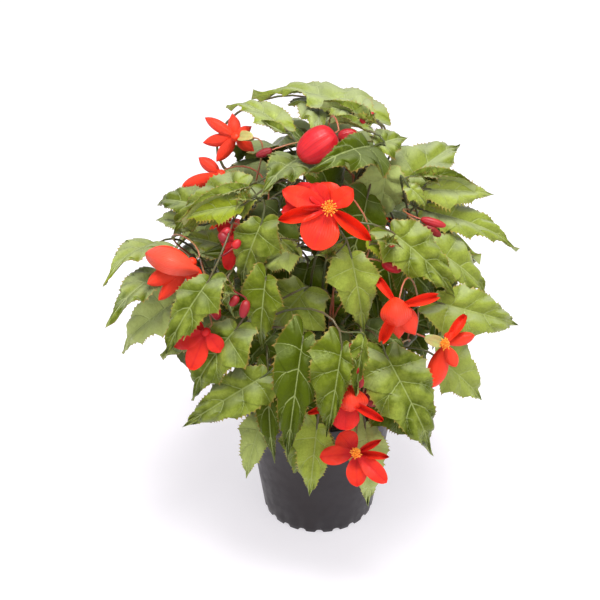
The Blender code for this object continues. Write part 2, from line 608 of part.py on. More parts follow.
class Bush:
    """Places every stem, bloom, bud, leaf and stalk clear of the others."""

    def __init__(self):
        self.crowd = Crowd()
        self.stems = {}
        self.blooms = {}
        self.stamens = {}
        self.buds = {}
        self.leaves = {}
        self.stalks = {}
        self.used = set()
        self.unclear = []

    def grow_stems(self):
        """The stems, each from its hole in the soil to its top."""
        soil_top = POT_HEIGHT - SOIL_BELOW_RIM
        for stem in STEMS_MM:
            root = Vector((*stem.root, 0)) * MM
            foot = root + UP * (soil_top - STEM_DEPTH)
            collar = root + UP * (soil_top + 2 * SOIL_BUMP)
            ends = (collar, collar + UP * STEM_UPRIGHT, Vector(stem.bend) * MM, Vector(stem.top) * MM)
            points = [foot] + [bezier(ends, step / STEM_STEPS) for step in range(STEM_STEPS + 1)]
            last = len(points) - 1
            radii = [STEM_RADIUS + (STEM_TIP_RADIUS - STEM_RADIUS) * n / last for n in range(last + 1)]
            verts, faces = tube(points, radii, STEM_SIDES)
            self.stems[stem.name] = (points, verts, faces)
            self.stalks[stem.name] = []
            self.crowd.add(stem.name, verts, faces)

    def add_bloom(self, name, centre, petals, facing, arrival, stamens):
        """One bloom: its petals, its core and, where it shows them, its stamens."""
        blades = bloom_blades(centre, petals, facing)
        core = ball(centre, (CORE_RADIUS,) * 3, facing, 6, 3)
        self.blooms[name] = (centre, blades, core, arrival)
        for blade in blades:
            self.crowd.add(name, *blade.mesh())
        self.crowd.add(name, *core)
        if stamens:
            foot = centre + facing * (CORE_RADIUS + GAP)
            self.stamens[name] = stamen_parts(foot, facing)
            for verts, faces in self.stamens[name]:
                self.crowd.add(name, verts, faces)

    def open_blooms(self):
        """The blooms that show in the reference view, then those at the back."""
        for bloom in BLOOMS_MM:
            centre = on_shell(bloom.centre, bloom.behind * MM)
            facing = -sight_line(bloom.centre)[1]
            petals = []
            for pixel, width in bloom.petals:
                eye, ray = sight_line(pixel)
                depth = (centre - eye).dot(ray) + bloom.spread * MM
                petals.append((eye + ray * depth, width * MM))
            arrival = Vector(bloom.faces).normalized()
            self.add_bloom(bloom.name, centre, petals, facing, arrival, bloom.stamens)
        for name, place in BACK_BLOOMS_MM:
            centre = Vector(place) * MM
            facing = (outward(centre) - UP * BACK_BLOOM_DROOP).normalized()
            spoke = facing.orthogonal().normalized()
            petals = []
            for petal in range(BACK_BLOOM_PETALS):
                turn = Matrix.Rotation(2 * math.pi * petal / BACK_BLOOM_PETALS, 3, facing)
                way = (turn @ spoke * BACK_PETAL_OUT + facing * BACK_PETAL_AHEAD).normalized()
                petals.append((centre + way * BACK_PETAL_LENGTH, BACK_PETAL_WIDTH))
            self.add_bloom(name, centre, petals, facing, -facing, False)

    def hang_buds(self):
        """The buds, as flattened eggs from their stalk end to their tip."""
        for bud in BUDS_MM:
            base = on_shell(bud.base, bud.behind * MM)
            tip = on_sight_line(bud.tip, base, BUD_LEAN)
            axis = (tip - base).normalized()
            half = (tip - base).length / 2
            width = bud.width * MM / 2
            shape = ball((base + tip) / 2, (width, width * BUD_FLATNESS, half), axis, 6, 4, BUD_PINCH)
            self.buds[bud.name] = (base, axis, shape)
            self.crowd.add(bud.name, *shape)

    def settle(self, name, options):
        """Keeps the first option that is clear of the crowd, or else the one that touches least."""
        best = None
        for blade in options:
            touches = self.crowd.hits(*blade.mesh(CLEARANCE))
            if best is None or touches < best[0]:
                best = (touches, blade)
            if touches == 0:
                break
        if best[0]:
            self.unclear.append((name, best[0]))
        self.leaves[name] = best[1]
        self.crowd.add(name, *best[1].mesh())

    def spread_front_leaves(self):
        """The leaves of the table, each as near to its row as the others allow."""
        changes = nudges(FRONT_SHIFTS_MM, FRONT_LEANS_MM, FRONT_ROLLS)
        for leaf in FRONT_LEAVES_MM:
            self.settle(leaf.name, self.front_options(leaf, changes))

    def front_options(self, leaf, changes):
        """A table leaf's blade under each change of depth, lean and roll."""
        for shift, lean, roll in changes:
            base = on_shell(leaf.base, (leaf.behind + shift) * MM)
            first = on_sight_line(leaf.tip, base, leaf.length * MM)
            tip = first + sight_line(leaf.tip)[1] * lean * MM
            facing = outward((base + tip) / 2) * FACE_OUT + UP * FACE_UP
            facing -= sight_line(leaf.base)[1] * FACE_VIEW
            turn = math.radians(leaf.roll + roll)
            yield Blade(base, tip, facing, leaf.width * MM, KINDS[leaf.kind], leaf.lobe, turn)

    def spread_back_leaves(self):
        """Leaves over the back and sides by rule, in rising order round the stems."""
        chance = random.Random(BACK_SEED)
        for number in range(BACK_LEAVES):
            part = (number + 0.5) / BACK_LEAVES
            azimuth = math.radians(BACK_FROM + BACK_SPAN * ((number * BACK_TURN + BACK_START) % 1.0))
            sideways = abs(math.cos(azimuth))
            fall = 1 - BACK_SIDE_FALL * sideways ** 2
            height = BACK_LOWEST + (BACK_HIGHEST - BACK_LOWEST) * part * fall
            length = chance.uniform(*BACK_LENGTHS)
            swing = math.radians(chance.uniform(-BACK_SWING, BACK_SWING))
            low_droop, high_droop = BACK_DROOPS
            droop = math.radians(low_droop + (high_droop - low_droop) * part)
            width = length * chance.uniform(*BACK_WIDTH_SHARES)
            lobe = chance.choice((-1, 1))
            sizes = (azimuth, height, length, swing, droop, width, lobe)
            self.settle("back_{}".format(number), self.back_options(sizes))

    def back_options(self, sizes):
        """A back leaf's blade under each change of depth, bearing, tilt and roll."""
        azimuth, height, length, swing, droop, width, lobe = sizes
        level = (height - SHELL_CENTRE.z) / SHELL_RADII.z
        reach = math.sqrt(1 - level * level)
        for inward, turn, tilt, roll in nudges(BACK_INWARD, BACK_TURNS, BACK_TILTS, BACK_ROLLS):
            bearing = azimuth + math.radians(turn)
            tip = Vector((SHELL_RADII.x * SIDE_TUCK * reach * math.cos(bearing),
                          BACK_REACH * reach * math.sin(bearing), height))
            flat = Vector((math.cos(bearing + swing), math.sin(bearing + swing), 0))
            angle = droop + math.radians(tilt)
            way = flat * math.cos(angle) - UP * math.sin(angle)
            tip = tip - flat * inward * MM
            base = tip - way * length
            facing = outward((base + tip) / 2) + UP * BACK_FACE_UP
            yield Blade(base, tip, facing, width, KINDS["back"], lobe, math.radians(roll))

    def run_stalk(self, name, end, arrive, seat, radii, blade=None):
        """Runs a stalk from the best stem to a place, by a bend that is clear of the crowd."""
        starts = []
        for stem, (points, _, _) in self.stems.items():
            for index in range(2, len(points)):
                for share in (0.0, 0.5):
                    start = points[index - 1].lerp(points[index], 1.0 - share)
                    if (stem, round(start.z, 5)) in self.used:
                        continue
                    reach = (end - start).length
                    above = max(0.0, start.z - end.z)
                    score = abs(reach - STALK_LENGTH) + STALK_FALL_COST * above
                    starts.append((score, stem, index, start))
        starts.sort(key=lambda choice: choice[0])
        bends = [Vector()]
        for size in STALK_BENDS:
            for axis in range(3):
                for sign in (1, -1):
                    bend = Vector()
                    bend[axis] = sign * size
                    bends.append(bend)
        best = None
        for _, stem, index, start in starts[:STALK_STARTS]:
            rise = (self.stems[stem][0][index] - self.stems[stem][0][index - 1]).normalized()
            reach = (end - start).length
            for bend in bends:
                first = start + (rise + UP) * STALK_LEAVES_STEM * reach + bend
                second = end + arrive * STALK_REACHES_END * reach + bend
                ends = (start, first, second, end)
                points = [bezier(ends, step / STALK_STEPS) for step in range(STALK_STEPS + 1)]
                if seat is not None:
                    points.append(seat)
                last = len(points) - 1
                sizes = [radii[0] + (radii[1] - radii[0]) * n / last for n in range(last + 1)]
                wide = [size + STALK_CLEARANCE for size in sizes]
                touches = self.crowd.hits(*tube(points, wide, STALK_SIDES), ignore=(stem, name))
                clear_of_own = tube(points[:-1], wide[:-1], STALK_SIDES)
                touches += self.crowd.hits(*clear_of_own, ignore=(stem,))
                if best is None or touches < best[0]:
                    best = (touches, stem, points, sizes)
                if touches == 0:
                    break
            if best[0] == 0:
                break
        touches, stem, points, sizes = best
        if touches:
            self.unclear.append((name + " stalk", touches))
        self.used.add((stem, round(points[0].z, 5)))
        shape = tube(points, sizes, STALK_SIDES)
        self.crowd.add(stem, *shape)
        if blade is not None:
            shape = blade.stalked(points, sizes)
        self.stalks[stem].append(shape)
        return stem

    def run_stalks(self):
        """Pedicels to the blooms and buds, then a stalk to each leaf."""
        thin = (PEDICEL_RADIUS, PEDICEL_TIP_RADIUS)
        for name, (centre, _, _, arrival) in self.blooms.items():
            away = CORE_RADIUS + GAP
            if name in OVARY_BLOOMS:
                middle = centre + arrival * (away + OVARY_LENGTH / 2)
                half = (OVARY_WIDTH / 2, OVARY_WIDTH / 2, OVARY_LENGTH / 2)
                shape = ball(middle, half, arrival, 6, 4)
                end = centre + arrival * (away + OVARY_LENGTH)
                stem = self.run_stalk(name, end, arrival, middle, thin)
                self.stalks[stem].append(shape)
                self.crowd.add(stem, *shape)
            else:
                seat = centre + arrival * away
                end = seat + arrival * PEDICEL_STRAIGHT
                self.run_stalk(name, end, arrival, seat, thin)
        for name, (base, axis, _) in self.buds.items():
            seat = base - axis * GAP
            end = seat - axis * PEDICEL_STRAIGHT
            self.run_stalk(name, end, -axis, seat, thin)
        for name, blade in self.leaves.items():
            thick = (STALK_RADIUS, STALK_TIP_RADIUS)
            self.run_stalk(name, blade.base, -blade.axis, None, thick, blade)


def stamen_parts(foot, facing):
    """A short column with a head of anthers round it, from its foot."""
    parts = []
    column = [foot, foot + facing * STAMEN_LENGTH * STAMEN_COLUMN_SHARE]
    parts.append(tube(column, (STAMEN_COLUMN, STAMEN_COLUMN * STAMEN_COLUMN_TAPER), 6))
    spoke = facing.orthogonal().normalized()
    for number in range(STAMENS):
        turn = Matrix.Rotation(2 * math.pi * number / STAMENS, 3, facing)
        way = (facing + turn @ spoke * STAMEN_SPREAD).normalized()
        root = foot + facing * STAMEN_LENGTH * STAMEN_ROOT_SHARE
        tip = root + way * STAMEN_LENGTH * STAMEN_REACH_SHARE
        parts.append(tube([root, tip], (STAMEN_RADIUS, STAMEN_RADIUS * STAMEN_SWELL), 4))
    return parts


def fill_pockets(item):
    """Fills the sealed pockets where shapes cross, by dropping the walls that close round them."""
    shape = bmesh.new()
    shape.from_mesh(item.data)
    seen = set()
    walls = []
    for start in shape.faces:
        if start in seen:
            continue
        seen.add(start)
        shell = [start]
        volume = 0.0
        for face in shell:
            corners = [vert.co for vert in face.verts]
            for second, third in zip(corners[1:], corners[2:]):
                volume += corners[0].dot(second.cross(third))
            for edge in face.edges:
                for beside in edge.link_faces:
                    if beside not in seen:
                        seen.add(beside)
                        shell.append(beside)
        if volume < 0:
            walls += shell
    bmesh.ops.delete(shape, geom=walls, context="FACES")
    shape.to_mesh(item.data)
    shape.free()


def make_node(name, parts, paint):
    """One object from several closed shapes, joined by one Boolean union."""
    items = []
    for number, (verts, faces) in enumerate(parts):
        items.append(add_object("{}_{}".format(name, number), verts, faces, paint))
    first = items[0]
    if len(items) > 1:
        combine(first, items[1:], "UNION", "MANIFOLD")
        fill_pockets(first)
    first.name = name
    first.data.name = name
    return first


def make_pot(paint):
    """The nursery pot: tapered wall, proud collar at the rim, lugged foot and drain holes."""
    wall_top = POT_HEIGHT - POT_RIM_DEPTH
    wall_radius = POT_RIM_RADIUS - POT_COLLAR - POT_FOOT_TUCK
    base_top = POT_BASE_LIFT + POT_BASE_THICKNESS
    slope = (wall_radius - POT_FOOT_RADIUS) / wall_top
    inner_foot = POT_FOOT_RADIUS - POT_WALL
    profile = (
        (0.0, POT_BASE_LIFT),
        (inner_foot - POT_FOOT_LAND, POT_BASE_LIFT),
        (inner_foot - POT_FOOT_LAND, 0.0),
        (POT_FOOT_RADIUS, 0.0),
        (wall_radius, wall_top),
        (POT_RIM_RADIUS - POT_FOOT_TUCK, wall_top),
        (POT_RIM_RADIUS, POT_HEIGHT - POT_LIP),
        (POT_RIM_RADIUS - POT_LIP, POT_HEIGHT),
        (POT_RIM_RADIUS - POT_WALL - POT_LIP, POT_HEIGHT),
        (POT_RIM_RADIUS - POT_WALL - POT_LIP * 2, wall_top + POT_WALL),
        (wall_radius - POT_WALL, wall_top),
        (inner_foot + slope * base_top, base_top),
        (0.0, base_top),
    )
    verts, faces = turned(profile, POT_SEGMENTS)
    rows = len(profile)
    for step in range(0, POT_SEGMENTS, POT_LUG_STEPS):
        for row in (2, 3):
            verts[step * rows + row].z += POT_LUG_NOTCH
    pot = add_object("pot", verts, faces, paint)
    drills = []
    for number in range(POT_HOLES):
        angle = 2 * math.pi * (number + 0.5) / POT_HOLES
        place = Vector((math.cos(angle), math.sin(angle), 0)) * POT_HOLE_RING
        ends = [place - UP * base_top, place + UP * base_top * 2]
        drill = tube(ends, (POT_HOLE_RADIUS, POT_HOLE_RADIUS), POT_DRILL_SIDES)
        drills.append(add_object("drill_{}".format(number), *drill, paint))
    combine(pot, drills, "DIFFERENCE")
    pot.data.shade_smooth()
    pot.data.set_sharp_from_angle(angle=POT_SHARP_ANGLE)
    return pot


def soil_height(x, y):
    """The uneven top of the soil."""
    waves = 0.0
    for size, across, along, start, cross, down in SOIL_WAVES:
        waves += size * math.sin(x * across + y * along + start) * math.cos(x * cross + y * down)
    return POT_HEIGHT - SOIL_BELOW_RIM + SOIL_BUMP * waves / sum(wave[0] for wave in SOIL_WAVES)


def make_soil(bush, paint):
    """The soil that fills the pot, with a plain hole for each stem."""
    wall_top = POT_HEIGHT - POT_RIM_DEPTH
    wall_radius = POT_RIM_RADIUS - POT_COLLAR - POT_FOOT_TUCK
    slope = (wall_radius - POT_FOOT_RADIUS) / wall_top
    inner_foot = POT_FOOT_RADIUS - POT_WALL - GAP * 2
    bottom = POT_BASE_LIFT + POT_BASE_THICKNESS + GAP
    top = POT_HEIGHT - SOIL_BELOW_RIM
    edge = inner_foot + slope * (top - SOIL_BUMP)
    profile = [(0.0, bottom), (inner_foot + slope * bottom, bottom), (edge, top - SOIL_BUMP)]
    for ring in range(1, SOIL_RINGS + 1):
        profile.append((edge * (1 - ring / SOIL_RINGS) * SOIL_SHRINK, top))
    verts, faces = turned(profile, SOIL_SEGMENTS)
    for vert in verts:
        if vert.z >= top - SOIL_BUMP * 0.5:
            vert.z = soil_height(vert.x, vert.y)
    soil = add_object("soil", verts, faces, paint)
    drills = []
    for name, (points, _, _) in bush.stems.items():
        ends = [points[0] - UP * GAP, points[1] + UP * SOIL_BUMP * 3]
        radius = STEM_RADIUS + STEM_HOLE_PLAY
        drill = tube(ends, (radius, radius), STEM_SIDES)
        drills.append(add_object("drill_" + name, *drill, paint))
    combine(soil, drills, "DIFFERENCE")
    return soil


def make_plant(bush):
    """One node for each leafy stem, bloom, stamen head and bud."""
    green = finish_paint("leaf_green", *LEAF_PAINT)
    red = finish_paint("petal_orange_red", *PETAL_PAINT)
    crimson = finish_paint("bud_crimson", *BUD_PAINT)
    yellow = finish_paint("stamen_yellow", *STAMEN_PAINT)
    for name, (_, verts, faces) in bush.stems.items():
        make_node(name, [(verts, faces)] + bush.stalks[name], green)
    for name, (_, blades, core, _) in bush.blooms.items():
        make_node(name, [core] + [blade.mesh() for blade in blades], red)
    for name, parts in bush.stamens.items():
        make_node(name.replace("bloom", "stamens"), parts, yellow)
    for name, (_, _, shape) in bush.buds.items():
        make_node(name, [shape], crimson)


def grow_bush():
    """The whole plant, placed."""
    bush = Bush()
    bush.grow_stems()
    bush.open_blooms()
    bush.hang_buds()
    bush.spread_front_leaves()
    bush.spread_back_leaves()
    bush.run_stalks()
    return bush


def main():
    """Builds the potted plant, and stops if a leaf or stalk found no clear place."""
    clear_scene()
    bush = grow_bush()
    if bush.unclear:
        raise RuntimeError("These touch a neighbour: {}".format(bush.unclear))
    make_pot(finish_paint("pot_black_plastic", *POT_PAINT))
    make_soil(bush, finish_paint("soil_brown", *SOIL_PAINT))
    make_plant(bush)


main()
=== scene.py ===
"""The looks of a potted begonia: leaves, stalks, blooms, buds, soil, pot and stage.

Units are metres, +Z is up and the front of the plant faces -Y. Every piece replaces a node of the
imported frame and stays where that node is. A leaf, petal or bud is placed by the same tables and
rules as the node: by the pixel where it lies in the 600 x 600 reference view and by how far it sits
behind the bush's outer shell, an ellipsoid. Sizes marked _MM in a table are millimetres.
"""

import itertools
import json
import math
import random
from collections import namedtuple
from functools import partial

import bmesh
import bpy
import numpy as np
from mathutils import Matrix, Vector, noise
from mathutils.bvhtree import BVHTree

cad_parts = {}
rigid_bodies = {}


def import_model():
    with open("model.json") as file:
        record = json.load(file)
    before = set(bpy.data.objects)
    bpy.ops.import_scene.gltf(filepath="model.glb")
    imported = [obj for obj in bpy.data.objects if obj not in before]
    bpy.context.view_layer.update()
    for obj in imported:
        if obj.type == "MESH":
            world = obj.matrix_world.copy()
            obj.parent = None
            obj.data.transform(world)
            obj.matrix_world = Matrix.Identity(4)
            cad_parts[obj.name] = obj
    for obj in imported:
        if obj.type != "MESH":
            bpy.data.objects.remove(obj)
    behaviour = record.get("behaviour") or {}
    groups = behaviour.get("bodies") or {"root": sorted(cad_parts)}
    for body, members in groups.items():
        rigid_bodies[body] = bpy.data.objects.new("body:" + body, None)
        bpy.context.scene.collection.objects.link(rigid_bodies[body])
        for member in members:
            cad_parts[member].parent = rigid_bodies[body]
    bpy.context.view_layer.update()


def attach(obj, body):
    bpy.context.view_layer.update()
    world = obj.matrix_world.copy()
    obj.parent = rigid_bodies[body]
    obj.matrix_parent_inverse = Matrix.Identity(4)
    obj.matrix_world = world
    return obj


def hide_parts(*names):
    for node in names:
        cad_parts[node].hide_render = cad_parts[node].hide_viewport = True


bl_info = {
    "name": "Potted Begonia",
    "version": (1, 0, 0),
    "blender": (4, 5, 0),
    "location": "3D View > Sidebar > Begonia",
    "description": "Finishes a packed potted begonia: leaves, blooms, buds, soil, pot and stage",
    "category": "Add Mesh",
}

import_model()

MM = 0.001
UP = Vector((0, 0, 1))

# The pot
POT_HEIGHT = 0.118
POT_RIM_RADIUS = 0.065
POT_RIM_DEPTH = 0.011
POT_FOOT_RADIUS = 0.0443
POT_COLLAR = 0.0048
POT_WALL = 0.0016
POT_BASE_LIFT = 0.0030
POT_BASE_THICKNESS = 0.0022
POT_HOLES = 6
POT_HOLE_RADIUS = 0.0045
POT_HOLE_RING = 0.030
POT_HOLE_SIDES = 32
POT_FOOT_TUCK = 0.0007
POT_FOOT_LAND = 0.0015
POT_LIP = 0.0009
POT_EDGE = 0.0003
POT_LUG_NOTCH = 0.0024
POT_LUG_PITCH = 18.0
POT_LUG_ROWS = (3, 4, 5, 6)
POT_NOTCH_HALF = 2.2
POT_NOTCH_SLOPE = 2.4
POT_WALL_ROWS = (0.04, 0.2, 0.4, 0.6, 0.8, 0.985)
POT_WALL_TOP = POT_HEIGHT - POT_RIM_DEPTH
POT_WALL_RADIUS = POT_RIM_RADIUS - POT_COLLAR - POT_FOOT_TUCK
POT_SLOPE = (POT_WALL_RADIUS - POT_FOOT_RADIUS) / POT_WALL_TOP
POT_BASE_TOP = POT_BASE_LIFT + POT_BASE_THICKNESS
POT_INNER_FOOT = POT_FOOT_RADIUS - POT_WALL

# The rim's rounding: walls and lips inward from the rim's radius, and lips down from its top
POT_LIP_ROWS = ((0, 0.15, 0.4), (0, 1, 0), (1, 1, 0), (1, 1.6, 1))

# The soil
SOIL_BELOW_RIM = 0.014
SOIL_TOP = POT_HEIGHT - SOIL_BELOW_RIM
SOIL_BUMP = 0.0022
SOIL_FINE_SEGMENTS = 120
SOIL_FINE_RINGS = 36
SOIL_SHRINK = 0.98
SOIL_WAVES = ((1.0, 210, 0, 1.3, 0, 170), (0.6, 90, -260, 0.7, 0, 0))
SOIL_CRUMB = 0.0011
SOIL_SEED = 3
CRUMB_SCALES = (260, 620)
CRUMB_SHARE = 0.6
CHIP_RING = 0.050
CHIP_SIZES = (0.0016, 0.0042)
CHIP_LIFT = 0.15
CHIP_TILT = 0.4
CHIP_ROUGH = 0.45
CHIP_GRAIN = 1.4
CHIP_DEPTH = 0.6
CHIP_HALF = 0.28
CHIP_POINT = 0.35
CHIP_MESH = (9, 5)
GAP = 0.0003

# The stems and stalks. Radii run from the foot to the tip, and the skins are numbers of paints.
STEM_SKIN, STALK_SKIN, OVARY_SKIN, HAIR_SKIN, PEDICEL_SKIN = range(5)
STEM_RADII = (0.0034, 0.0020)
STEM_SIDES = 5
STEM_STEPS = 8
STEM_DEPTH = 0.024
STEM_UPRIGHT = 0.03
STEM_FINE_STEPS = 40
STEM_FINE_SIDES = 12
STEM_NODE_SWELL = 0.3
STEM_NODE_LENGTH = 0.005
STEM_END = ((0.0010, 0.8), (0.0016, 0.4))
STEM_HAIRS = 90
STALK_RADII = (0.0019, 0.0014)
STALK_SIDES = 4
STALK_STEPS = 3
STALK_FINE_STEPS = 12
STALK_FINE_SIDES = 8
STALK_HAIRS = 26
STALK_FLARE = 0.4
STALK_FLARE_FALL = 0.3
STALK_SLIMNESS = 0.54
STALK_LENGTH = 0.040
STALK_STARTS = 60
STALK_START_SHARES = (0.0, 0.5)
STALK_FALL_COST = 0.5
STALK_BENDS = (0.008, 0.016, 0.026, 0.038)
STALK_LEAVES_STEM = 0.2
STALK_REACHES_END = 0.4
STALK_CLEARANCE = 0.0006
PEDICEL_RADII = (0.0013, 0.0011)
PEDICEL_STRAIGHT = 0.003
YOUNG_STALK_RADII = (PEDICEL_RADII[1], PEDICEL_RADII[1] * 0.8)
YOUNG_STALK_BEND = 0.3
BRACT_STALK_RADIUS = PEDICEL_RADII[1] * 0.6
BRACT_STALK_STEPS = 8
BRACT_STALK_SIDES = 6
NEAR_STEPS = 10
NEAR_AHEAD = 0.05
MIDRIB_RUN = ((0.05, 0.7), (0.12, 0.5), (0.22, 0.3), (0.34, 0.15))
HAIR_RADIUS = 0.00005
HAIR_ROOT = 0.8
HAIR_LEANS = (-0.3, 0.5)
HAIR_LENGTHS = (0.5, 1.0)
HAIR_SEED = 14

# The inner leaves: shells by count and share of the outer one, then rows of pixels and single ones
INNER_LEAVES = ((120, 0.58), (90, 0.72))
INNER_SHIFTS = (0, 0.06, -0.06, 0.12, -0.12, 0.18)
INNER_LENGTHS = (0.052, 0.072)
INNER_WIDTH_SHARE = 0.76
INNER_LOWEST = -0.62
INNER_HIGHEST = 0.95
INNER_SWING = 0.5
INNER_DROOPS = (0.7, 0.2, 1.3)
INNER_ROLLS = (0, 20, -20)
INNER_OUT = 0.45
INNER_FACE_UP = 0.5
INNER_STALK_DROP = 0.014
INNER_STALK_START = 0.3
INNER_STALK_BEND = 0.35
# Painted shade: how much darker the inner leaves are painted
INNER_SHADE = -0.9
INNER_SEED = 21
FILL_STEP = 17
FILL_DEPTHS = (0.045, 0.065, 0.085, 0.110, 0.135)
FILL_RADII = (118, 128)
FILL_MIDDLE = (320, 262)
FILL_SPOTS = ((271, 338), (365, 334), (388, 340), (377, 348), (243, 332), (360, 345), (418, 348),
              (352, 330), (232, 300), (257, 352), (400, 150))
SPOT_LENGTH = 0.036
COVER_NEEDED = 4
COVER_PROBES = (0.0, 0.4, -0.4)

# The tufts of smallest leaves
TUFT_LEAVES = 5
TUFT_LENGTHS = (0.008, 0.014)
TUFT_WIDTH_SHARE = 0.55
TUFT_RISE = 0.6
TUFT_TO_VIEW = 0.4
TUFT_CLOSED = (0.5, 1.0)
TUFT_OPEN = 0.8
TUFT_FACE_BACK = 0.5
TUFT_SEED = 22

# The blades
LEAF_THICKNESS = 0.0008
PETAL_THICKNESS = 0.0010
CLEARANCE = 0.0010
LOBE_PEAK = 0.45
TOOTH_SWEEP = 0.25
BASE_CROWDING = 1.25
LEAF_SEED = 11
LEAF_TONE_SPREAD = 0.2

# The blooms and buds. A mesh is its number of segments and rings.
EGG_MESH = (6, 4)
CORE_MESH = (6, 3)
CORE_FINE_MESH = (16, 10)
CORE_RADIUS = 0.0034
CORE_LOBES = 0.08
CORE_DEPTH = 0.3
PETAL_ROOT = 0.4
PETAL_LAYER = 0.0010
PETAL_STEP = 0.00025
PETAL_DEPTHS = (0.0, 0.35)
PETAL_SEED = 12
INNER_PETAL_DEPTHS = (0.4, 0.8)
CUP_BULGE = 0.30
STAMENS = 6
STAMEN_LENGTH = 0.008
STAMEN_COLUMN = 0.0012
STAMEN_RADIUS = 0.0006
STAMEN_SPREAD = 0.55
STAMEN_COLUMN_SHARE = 0.5
STAMEN_COLUMN_TAPER = 0.8
STAMEN_COLUMN_SIDES = 6
STAMEN_SIDES = 4
STAMEN_ROOT_SHARE = 0.3
STAMEN_REACH_SHARE = 0.8
STAMEN_SWELL = 1.3
STAMEN_SEED = 13
COLUMN_FINE_RADII = (STAMEN_COLUMN, STAMEN_COLUMN * 0.8, STAMEN_COLUMN * 0.7)
COLUMN_FINE_SIDES = 10
ANTHERS = 34
ANTHER_WIDTH = 0.00055
ANTHER_HALF = 0.0010
ANTHER_FAN = (1.15, 0.9)
ANTHER_ROOTS = 0.45
ANTHER_MESH = (8, 6)
ANTHER_POINT = 0.7
ANTHER_FLATNESS = 0.7
ANTHER_PINCH = 0.25
ANTHER_PINCH_WIDTH = 0.4
FILAMENT_SHARES = (0.34, 0.54)
FILAMENT_RADII = (0.00022, 0.00018)
FILAMENT_SIDES = 5
GOLDEN_TURN = 2.39996
OVARY_BLOOMS = ("bloom_far_right", "bloom_top_left")
OVARY_LENGTH = 0.013
OVARY_WIDTH = 0.008
OVARY_MESH = (48, 18)
OVARY_BODY = 0.55
OVARY_BODY_POINT = 0.7
OVARY_WING_ROUND = 0.4
OVARY_WING_FALL = 0.7
OVARY_WING_POINT = 12
BUD_LEAN = 0.010
BUD_FLATNESS = 0.75
BUD_PINCH = 0.8
BUD_FINE_PINCH = 0.86
BUD_LOW = 0.9
BUD_LINES = 24
BUD_SEGMENTS = 48
BUD_RINGS = 22
BUD_GROOVE = 0.06
BUD_GROOVE_WIDTH = 0.16
BUD_RIBS = 0.012
BUD_TONE = 0.1
BRACT_LEAN = BUD_LEAN * 0.4
BRACT_SEGMENTS = 16
BRACT_RINGS = 12
BRACT_TONES = (0.2, 0.9)
BRACT_LINE = 0.25
BRACT_SEED = 31
BACK_BLOOM_PETALS = 5
BACK_BLOOM_DROOP = 0.5
BACK_PETAL_LENGTH = 0.034
BACK_PETAL_WIDTH = 0.015
BACK_PETAL_OUT = 0.85
BACK_PETAL_AHEAD = 0.5

# The bush's outer shell
SHELL_CENTRE = Vector((0, 0, 0.200))
SHELL_RADII = Vector((0.148, 0.130, 0.165))
BACK_REACH = 0.140

# How far a front leaf may move from its table row, and what its face turns to
FRONT_SHIFTS_MM = (0, 5, -5, 10, -10, 16, 22, 30, 38)
FRONT_LEANS_MM = (0, 6, -6, 12, -12, 20, -20, 30)
FRONT_ROLLS = (0, 12, -12, 24, -24)
FACE_OUT = 0.8
FACE_UP = 0.4
FACE_VIEW = 0.6

# The reference view: a 600-pixel square frame that looks along +Y and down
VIEW_PIXELS = 600
VIEW_FOCAL_PIXELS = 1836.0
VIEW_ELEVATION = math.radians(34.0)
VIEW_DISTANCE = 1.40
VIEW_TARGET = Vector((-0.0153, 0.0, 0.195))
VIEW_BACK = Vector((0, -math.cos(VIEW_ELEVATION), math.sin(VIEW_ELEVATION)))
VIEW_OVER = Vector((0, math.sin(VIEW_ELEVATION), math.cos(VIEW_ELEVATION)))
VIEW_EYE = VIEW_TARGET + VIEW_BACK * VIEW_DISTANCE

Leaf = namedtuple("Leaf", "name base behind tip length width roll lobe kind")
Bloom = namedtuple("Bloom", "name centre behind spread petals faces stamens")
Bud = namedtuple("Bud", "name base tip behind width")
Stem = namedtuple("Stem", "name root bend top")

# Name, soil position, bend and top in millimetres
STEMS_MM = (
    Stem("stem_crown", (6, 8), (14, 16, 215), (30, 30, 300)),
    Stem("stem_top_left", (-10, 6), (-26, 4, 200), (-48, 0, 285)),
    Stem("stem_front", (2, -26), (2, -44, 165), (8, -72, 225)),
    Stem("stem_front_left", (-20, -17), (-42, -38, 150), (-66, -58, 205)),
    Stem("stem_left", (-31, 3), (-62, -4, 170), (-96, -8, 240)),
    Stem("stem_back_left", (-19, 24), (-42, 44, 180), (-66, 72, 260)),
    Stem("stem_back", (3, 34), (4, 60, 170), (0, 92, 255)),
    Stem("stem_back_right", (24, 22), (46, 42, 180), (70, 68, 260)),
    Stem("stem_right", (31, -3), (62, -4, 170), (94, -10, 245)),
    Stem("stem_front_right", (19, -19), (40, -42, 150), (68, -62, 205)),
)

